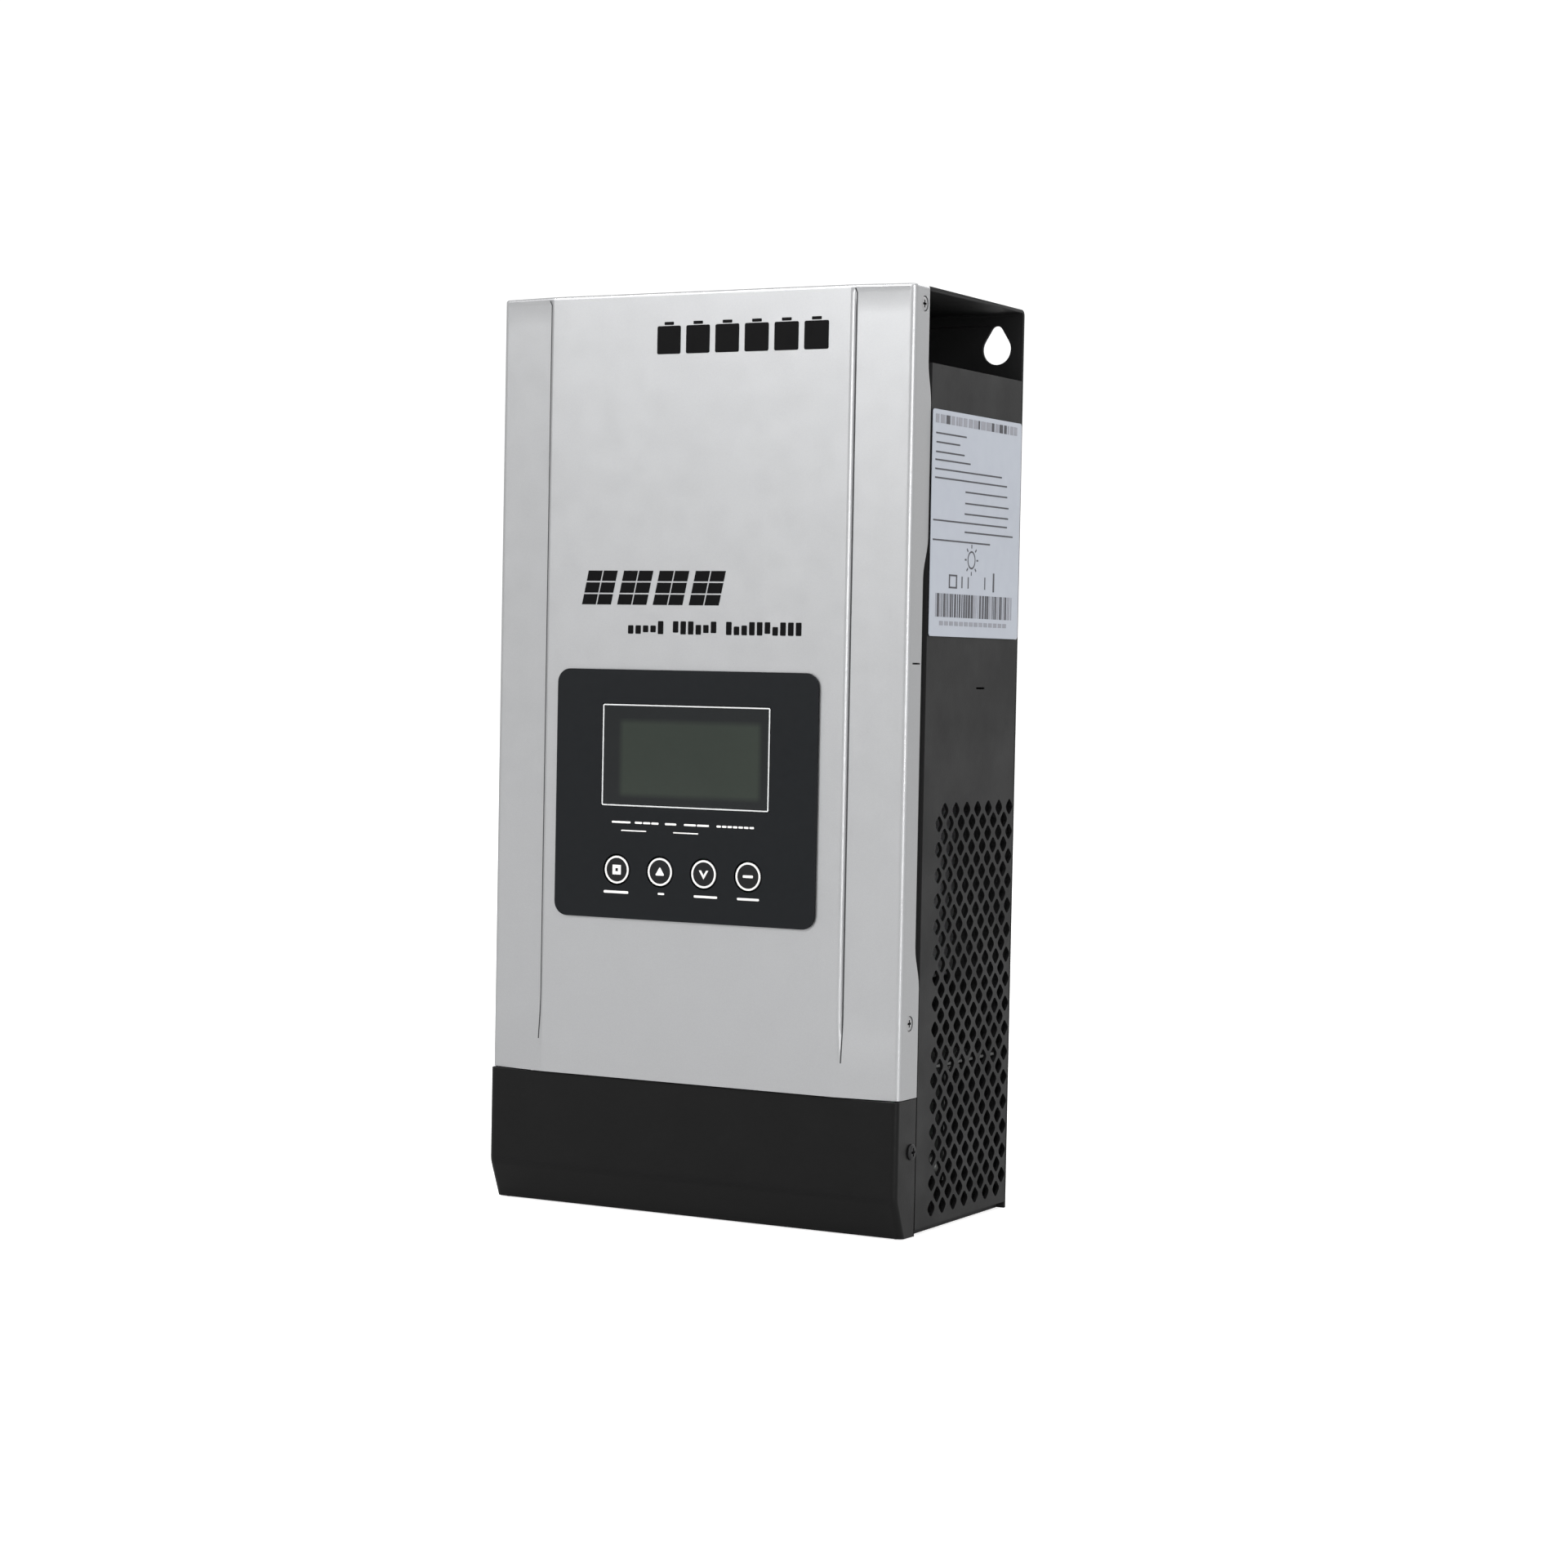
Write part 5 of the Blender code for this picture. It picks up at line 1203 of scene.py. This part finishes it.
def terminals(plastic, nickel, label_ink):
    """The terminal block with barriers between its ways, and slotted clamp screws."""
    low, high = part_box("terminal_block")
    softened("terminal_block", "clamp_block", plastic, "terminal_plastic", 0.0005, 3)
    ways = 4
    pitch = (high.x - low.x) / ways
    shape = bmesh.new()
    half = 0.0008
    for way in range(ways + 1):
        x = low.x + way * pitch
        near = (max(x - half, low.x), low.y - 0.0022, low.z + 0.001)
        far = (min(x + half, high.x), low.y + 0.0002, high.z - 0.001)
        add_block(shape, near, far, 0.0003)
    solid("clamp_barriers", shape, plastic, "case", "terminal_plastic")
    signs = bmesh.new()
    for way in range(ways):
        node = "clamp_screw_%d" % (way + 1)
        near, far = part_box(node)
        centre = ((near.x + far.x) / 2, near.y + 0.0008, (near.z + far.z) / 2)
        screw(
            "clamp_head_%d" % (way + 1), node, centre, (0, -1, 0), 0.0035, 0.0008, (nickel, nickel),
            "nickel_screw", "slot", 0.0062,
        )
        x, z = centre[0], centre[2] + 0.0085
        bars = [(-0.0022, 0.0022, -0.0004, 0.0004)]
        if way % 2 == 0:
            bars += [(-0.0004, 0.0004, 0.0005, 0.0022), (-0.0004, 0.0004, -0.0022, -0.0005)]
        for u0, u1, v0, v1 in bars:
            outline = rectangle(x + u0, x + u1, z + v0, z + v1)
            add_plate(signs, outline, on_front(low.y - 0.00005), (0, 0.0001, 0))
    solid("polarity_marks", signs, label_ink)


def connectors(plastic, pale, green, board, gold, nickel):
    """The small board with the data socket, the dry contacts and the sensor socket."""
    softened("interface_board", "signal_board", board, "circuit_board", 0.0002)
    softened("comms_port", "data_socket", pale, "module_plastic", 0.0003)
    softened("dry_contact_terminal", "dry_contacts", green, "green_plastic", 0.0004)
    softened("temperature_sensor_socket", "sensor_socket", plastic, "terminal_plastic", 0.0003)
    low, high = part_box("comms_port")
    pins = bmesh.new()
    for pin in range(8):
        x = (low.x + high.x) / 2 + (pin - 3.5) * PIN_PITCH
        near = (x - 0.0002, high.y - 0.0028, low.z + 0.0025)
        add_block(pins, near, (x + 0.0002, high.y - 0.0025, low.z + 0.0105))
    solid("data_pins", pins, gold)
    low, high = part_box("dry_contact_terminal")
    heads, mouths = bmesh.new(), bmesh.new()
    z = (low.z + high.z) / 2 + 0.0015
    profile = [(0.0, 0.0005), (0.0012, 0.0005), (0.0015, 0.0002), (0.0015, -0.0003), (0.0, -0.0003)]
    for way in range(3):
        x = low.x + (way + 0.5) * (high.x - low.x) / 3
        add_turned(heads, profile, (x, low.y, z), (0, -1, 0), 16)
        add_block(heads, (x - 0.0014, low.y - 0.0006, z - 0.0002), (x + 0.0014, low.y - 0.0004, z + 0.0002))
        near = (x - 0.0017, low.y + 0.003, low.z - 0.0001)
        add_block(mouths, near, (x + 0.0017, high.y - 0.003, low.z + 0.0004))
    solid("contact_heads", heads, nickel)
    solid("contact_mouths", mouths, plastic)
    low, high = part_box("interface_board")
    parts = bmesh.new()
    order = Random(3)
    for _ in range(14):
        x = order.uniform(low.x + 0.003, high.x - 0.004)
        z = order.uniform(low.z + 0.020, high.z - 0.003)
        add_block(parts, (x, low.y - 0.0007, z), (x + 0.0020, low.y + 0.0001, z + 0.0012), 0.0001)
    solid("signal_board_parts", parts, plastic)


def grommet_rings(rubber):
    """Cable grommets with a rounded lip above and below the bottom panel and a slit membrane."""
    for name, node in (
        ("grommet_left", "cable_grommet_left"), ("grommet_middle", "cable_grommet_middle"),
        ("grommet_signal", "signal_grommet"),
    ):
        low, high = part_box(node)
        centre = (low + high) / 2
        lip = (high.x - low.x) / 2
        bore = lip - 0.0055
        waist = lip - 0.0030
        slot_low, slot_high = low.z + 0.0015, high.z - 0.0015
        section = rounded(
            [(bore, high.z), (lip, high.z), (lip, slot_high), (waist, slot_high), (waist, slot_low),
             (lip, slot_low), (lip, low.z), (bore, low.z)], 0.0004, True, 3,
        )
        shape = bmesh.new()
        add_turned(shape, section, (centre.x, centre.y, 0.0), (0, 0, 1), 48)
        solid(name, shape, rubber, "case", "rubber", [node])
        skin = bmesh.new()
        level = (low.z + high.z) / 2
        share = 2 * pi / PETALS
        for petal in range(PETALS):
            start = share * petal + 0.02
            outline = arc(centre.x, centre.y, 0.0006, start + share / 2, 0.0, 1)[:1]
            outline += arc(centre.x, centre.y, bore + 0.0004, start, share - 0.04, 5)
            add_plate(skin, outline, lambda u, v: (u, v, level), (0, 0, 0.0005))
        solid(name + "_petals", skin, rubber, "case", "rubber")


# ---------------- power stage


CHIP_SIZES = ((0.0020, 0.0012), (0.0050, 0.0040), (0.0032, 0.0016), (0.0080, 0.0060))


def storage_capacitors(sleeve, aluminium, rubber):
    """Sleeved capacitors with a rolled groove and a scored top."""
    for number in range(1, 5):
        node = "capacitor_%d" % number
        low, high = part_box(node)
        x, z = (low.x + high.x) / 2, (low.z + high.z) / 2
        radius = (high.x - low.x) / 2
        length = high.y - low.y
        profile = [
            (radius * 0.78, 0.0), (radius * 0.93, 0.0), (radius * 0.99, -0.0005), (radius, -0.0012),
            (radius, -length + 0.0040), (radius * 0.95, -length + 0.0034), (radius * 0.95, -length + 0.0028),
            (radius, -length + 0.0022), (radius, -length + 0.0004), (radius * 0.78, -length),
        ]
        shape = bmesh.new()
        add_turned(shape, profile, (x, low.y, z), (0, -1, 0), 48)
        solid("capacitor_sleeve_%d" % number, shape, sleeve, "case", "capacitor_sleeve", [node])
        shape = bmesh.new()
        cap = [(0.0, -0.0003), (radius * 0.775, -0.0003), (radius * 0.775, -length), (0.0, -length)]
        add_turned(shape, cap, (x, low.y, z), (0, -1, 0), 40)
        solid("capacitor_can_%d" % number, shape, aluminium)
        shape = bmesh.new()
        for turn in range(3):
            score = spoke(x, z, 0.0, radius * 0.6, 0.00015, pi / 2 + 2 * pi * turn / 3)
            add_plate(shape, score, on_front(low.y + 0.00025), (0, 0.0002, 0))
        solid("capacitor_score_%d" % number, shape, rubber)


def wound_inductors(copper, core):
    """Ring cores with thick enamelled wire wound round them."""
    for side in ("left", "right"):
        node = "inductor_" + side
        low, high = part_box(node)
        centre = (low + high) / 2
        tube = (high.y - low.y) / 2
        ring = (high.x - low.x) / 2 - tube
        wire = 0.0009
        turns, sides, per_turn = 34, 6, 20
        shape = bmesh.new()
        count = turns * per_turn
        rows = []
        inner = tube - wire
        for step in range(count):
            way = 2 * pi * step / count
            around_core = 2 * pi * step / per_turn
            out = Vector((cos(way), 0, sin(way)))
            reach = ring + inner * cos(around_core)
            spot = centre + out * reach + Vector((0, inner * sin(around_core), 0))
            along = (Vector((-sin(way), 0, cos(way))) * reach / turns
                     + (-out * sin(around_core) + Vector((0, cos(around_core), 0))) * inner).normalized()
            away = (out * cos(around_core) + Vector((0, sin(around_core), 0))).normalized()
            across = along.cross(away)
            rows.append([
                shape.verts.new(spot + away * u + across * v) for u, v in around(0.0, 0.0, wire, sides)
            ])
        for step in range(count):
            here, ahead = rows[step], rows[(step + 1) % count]
            for k in range(sides):
                shape.faces.new((here[k], here[(k + 1) % sides], ahead[(k + 1) % sides], ahead[k]))
        solid("winding_" + side, shape, copper, "case", "copper_winding", [node])
        shape = bmesh.new()
        body = tube - 2.1 * wire
        near, far = ring - body, ring + body
        section = rounded([(far, body), (far, -body), (near, -body), (near, body)], 0.0012, True, 3)
        add_turned(shape, section, centre, (0, -1, 0), 48)
        solid("core_" + side, shape, core, "case", "epoxy")


def power_stage(board, aluminium, epoxy, nickel, plastic):
    softened("heatsink", "finned_heatsink", aluminium, "aluminium", 0.0003)
    softened("power_board", "main_board", board, "circuit_board", 0.0002)
    for number in range(1, 5):
        softened("board_standoff_%d" % number, "standoff_%d" % number, nickel, "nickel_screw", 0.0003)
        softened("transistor_%d" % number, "switch_transistor_%d" % number, epoxy, "epoxy", 0.0002)
    low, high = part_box("power_board")
    chips = bmesh.new()
    order = Random(8)
    for _ in range(40):
        x = order.uniform(low.x + 0.004, high.x - 0.012)
        z = order.uniform(low.z + 0.004, low.z + 0.075)
        wide, tall = order.choice(CHIP_SIZES)
        add_block(chips, (x, low.y - 0.0012, z), (x + wide, low.y + 0.0001, z + tall), 0.00015)
    solid("main_board_parts", chips, plastic, "case", "epoxy")


def cooling_fan(plastic):
    """The fan's frame, and a rotor with swept blades that twist from root to tip."""
    softened("fan_frame", "fan_housing", plastic, "fan_plastic", 0.0004)
    low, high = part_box("fan_rotor")
    centre = (low + high) / 2
    hub = 0.0125
    tip = (high.x - low.x) / 2
    shape = bmesh.new()
    bottom, top = low.z - centre.z, high.z - centre.z
    profile = [
        (0.0, top), (hub * 0.9, top), (hub, top - 0.0012), (hub, bottom), (hub - 0.0012, bottom),
        (hub - 0.0012, top - 0.0020), (0.0, top - 0.0020),
    ]
    add_turned(shape, profile, centre, (0, 0, 1), 40)
    skin = bmesh.new()
    blades, across, along = 7, 7, 6
    half_height = (high.z - low.z) / 2 - 0.0010
    for blade in range(blades):
        grid = []
        for i in range(across + 1):
            share = i / across
            radius = hub - 0.0004 + (tip - hub) * share
            pitch = radians(52 - 20 * share)
            row = []
            for j in range(along + 1):
                chord = (j / along - 0.5) * 2
                level = half_height * chord * 0.92
                sweep = level / radius / (sin(pitch) / cos(pitch)) + 0.16 * share
                bow = 0.0016 * (1 - chord * chord)
                turn = 2 * pi * blade / blades + sweep + bow / radius
                row.append(skin.verts.new(
                    (centre.x + radius * cos(turn), centre.y + radius * sin(turn), centre.z + level)))
            grid.append(row)
        for i in range(across):
            for j in range(along):
                skin.faces.new((grid[i][j], grid[i + 1][j], grid[i + 1][j + 1], grid[i][j + 1]))
    solid("rotor_hub", shape, plastic, "fan_rotor_body", "fan_plastic", ["fan_rotor"])
    thicken(finished("rotor_blades", skin, plastic, "fan_rotor_body", "fan_plastic"), 0.0010, 0.0)


def display_internals(pale, board, metal, ribbon):
    softened("lcd_module", "screen_module", pale, "module_plastic", 0.0003)
    softened("display_board", "screen_board", board, "circuit_board", 0.0002)
    for name in BUTTONS:
        softened("switch_" + name, "tact_switch_" + name, metal, "switch_metal", 0.0002)
    softened("ribbon_cable", "flat_ribbon", ribbon, "ribbon", 0.0001)


def sheet_metal_inside(zinc, black):
    softened("shelf_plate", "fan_shelf", zinc, "zinc_plate", 0.0002)
    softened("terminal_bracket", "wiring_bracket", zinc, "zinc_plate", 0.0002)
    softened("body_top_panel", "body_lid", black, "black_paint", 0.0002)
    softened("bottom_panel", "base_panel", black, "black_paint", 0.0002)
    softened("ground_screw", "earth_screw", zinc, "nickel_screw", 0.0002)


# ---------------- assembly


def build():
    make_camera()
    make_studio()
    silver = silver_paint()
    # Dark paint for the painted shade line at the foot of the cover's rolled edges
    painted_crease_shade = powder_coat("painted_crease_shade", (0.030, 0.030, 0.032), 0.6, 0.2)
    black = powder_coat("black_paint", (0.0012, 0.0012, 0.00125), 0.40, 0.15)
    rear_black = powder_coat("chassis_black", (0.009, 0.009, 0.0092), 0.6, 0.2)
    grey = powder_coat("grey_paint", (0.0040, 0.0040, 0.0041), 0.48, 0.18)
    bezel_plastic = moulded_plastic("bezel_plastic", (0.0030, 0.0038, 0.0048), 0.46, 0.13)
    key_plastic = moulded_plastic("key_plastic", (0.0028, 0.0030, 0.0036), 0.42, 0.20)
    dark_plastic = moulded_plastic("terminal_plastic", (0.028, 0.028, 0.030), 0.42)
    pale_plastic = moulded_plastic("module_plastic", (0.36, 0.37, 0.37), 0.45)
    green_plastic = moulded_plastic("green_plastic", (0.03, 0.23, 0.07), 0.4)
    fan_plastic = moulded_plastic("fan_plastic", (0.018, 0.018, 0.019), 0.45)
    epoxy = moulded_plastic("epoxy", (0.02, 0.02, 0.021), 0.5)
    rubber = moulded_plastic("rubber", (0.015, 0.015, 0.0155), 0.75, 0.2, 0.25)
    ribbon = moulded_plastic("ribbon", (0.36, 0.37, 0.39), 0.5)
    sleeve = moulded_plastic("capacitor_sleeve", (0.012, 0.02, 0.055), 0.3)
    aluminium = bright_metal("aluminium", (0.76, 0.77, 0.78), 0.34, "Z")
    nickel = bright_metal("nickel_screw", (0.66, 0.65, 0.63), 0.28)
    case_screw = bright_metal("case_screw", (0.36, 0.36, 0.365), 0.40)
    black_screw = bright_metal("black_screw", (0.032, 0.032, 0.033), 0.5)
    gold = bright_metal("contact_gold", (0.82, 0.60, 0.25), 0.25)
    copper = bright_metal("copper_winding", (0.66, 0.26, 0.10), 0.28)
    zinc = zinc_plate()
    board = circuit_board()
    white_ink = print_ink("white_ink", (0.62, 0.61, 0.60))
    black_ink = print_ink("black_ink", (0.0012, 0.0012, 0.0014), 0.5, 0.06)
    label_ink = print_ink("label_ink", (0.035, 0.035, 0.042))
    label_grey = print_ink("label_grey_ink", (0.20, 0.205, 0.23))
    line_ink = print_ink("window_line_ink", (0.48, 0.49, 0.49), 0.35)
    silver_cover(silver, painted_crease_shade)
    wiring_cover(black)
    # rear_black on the side sheets' folded-in flanges is painted shadow
    for side, hand in (("left", -1), ("right", 1)):
        side_sheet(side, hand, grey, rear_black)
    rear_plate(rear_black)
    sheet_metal_inside(zinc, rear_black)
    screen_bezel(bezel_plastic)
    screen_window(screen_glass(), line_ink)
    screen_buttons(key_plastic, white_ink)
    bezel_print(white_ink)
    cover_print(black_ink)
    side_label(label_film(), label_ink, label_grey)
    case_screws(case_screw, black_screw)
    terminals(dark_plastic, nickel, white_ink)
    connectors(dark_plastic, pale_plastic, green_plastic, board, gold, nickel)
    grommet_rings(rubber)
    storage_capacitors(sleeve, aluminium, rubber)
    wound_inductors(copper, epoxy)
    power_stage(board, aluminium, epoxy, nickel, epoxy)
    cooling_fan(fan_plastic)
    display_internals(pale_plastic, board, nickel, ribbon)


build()
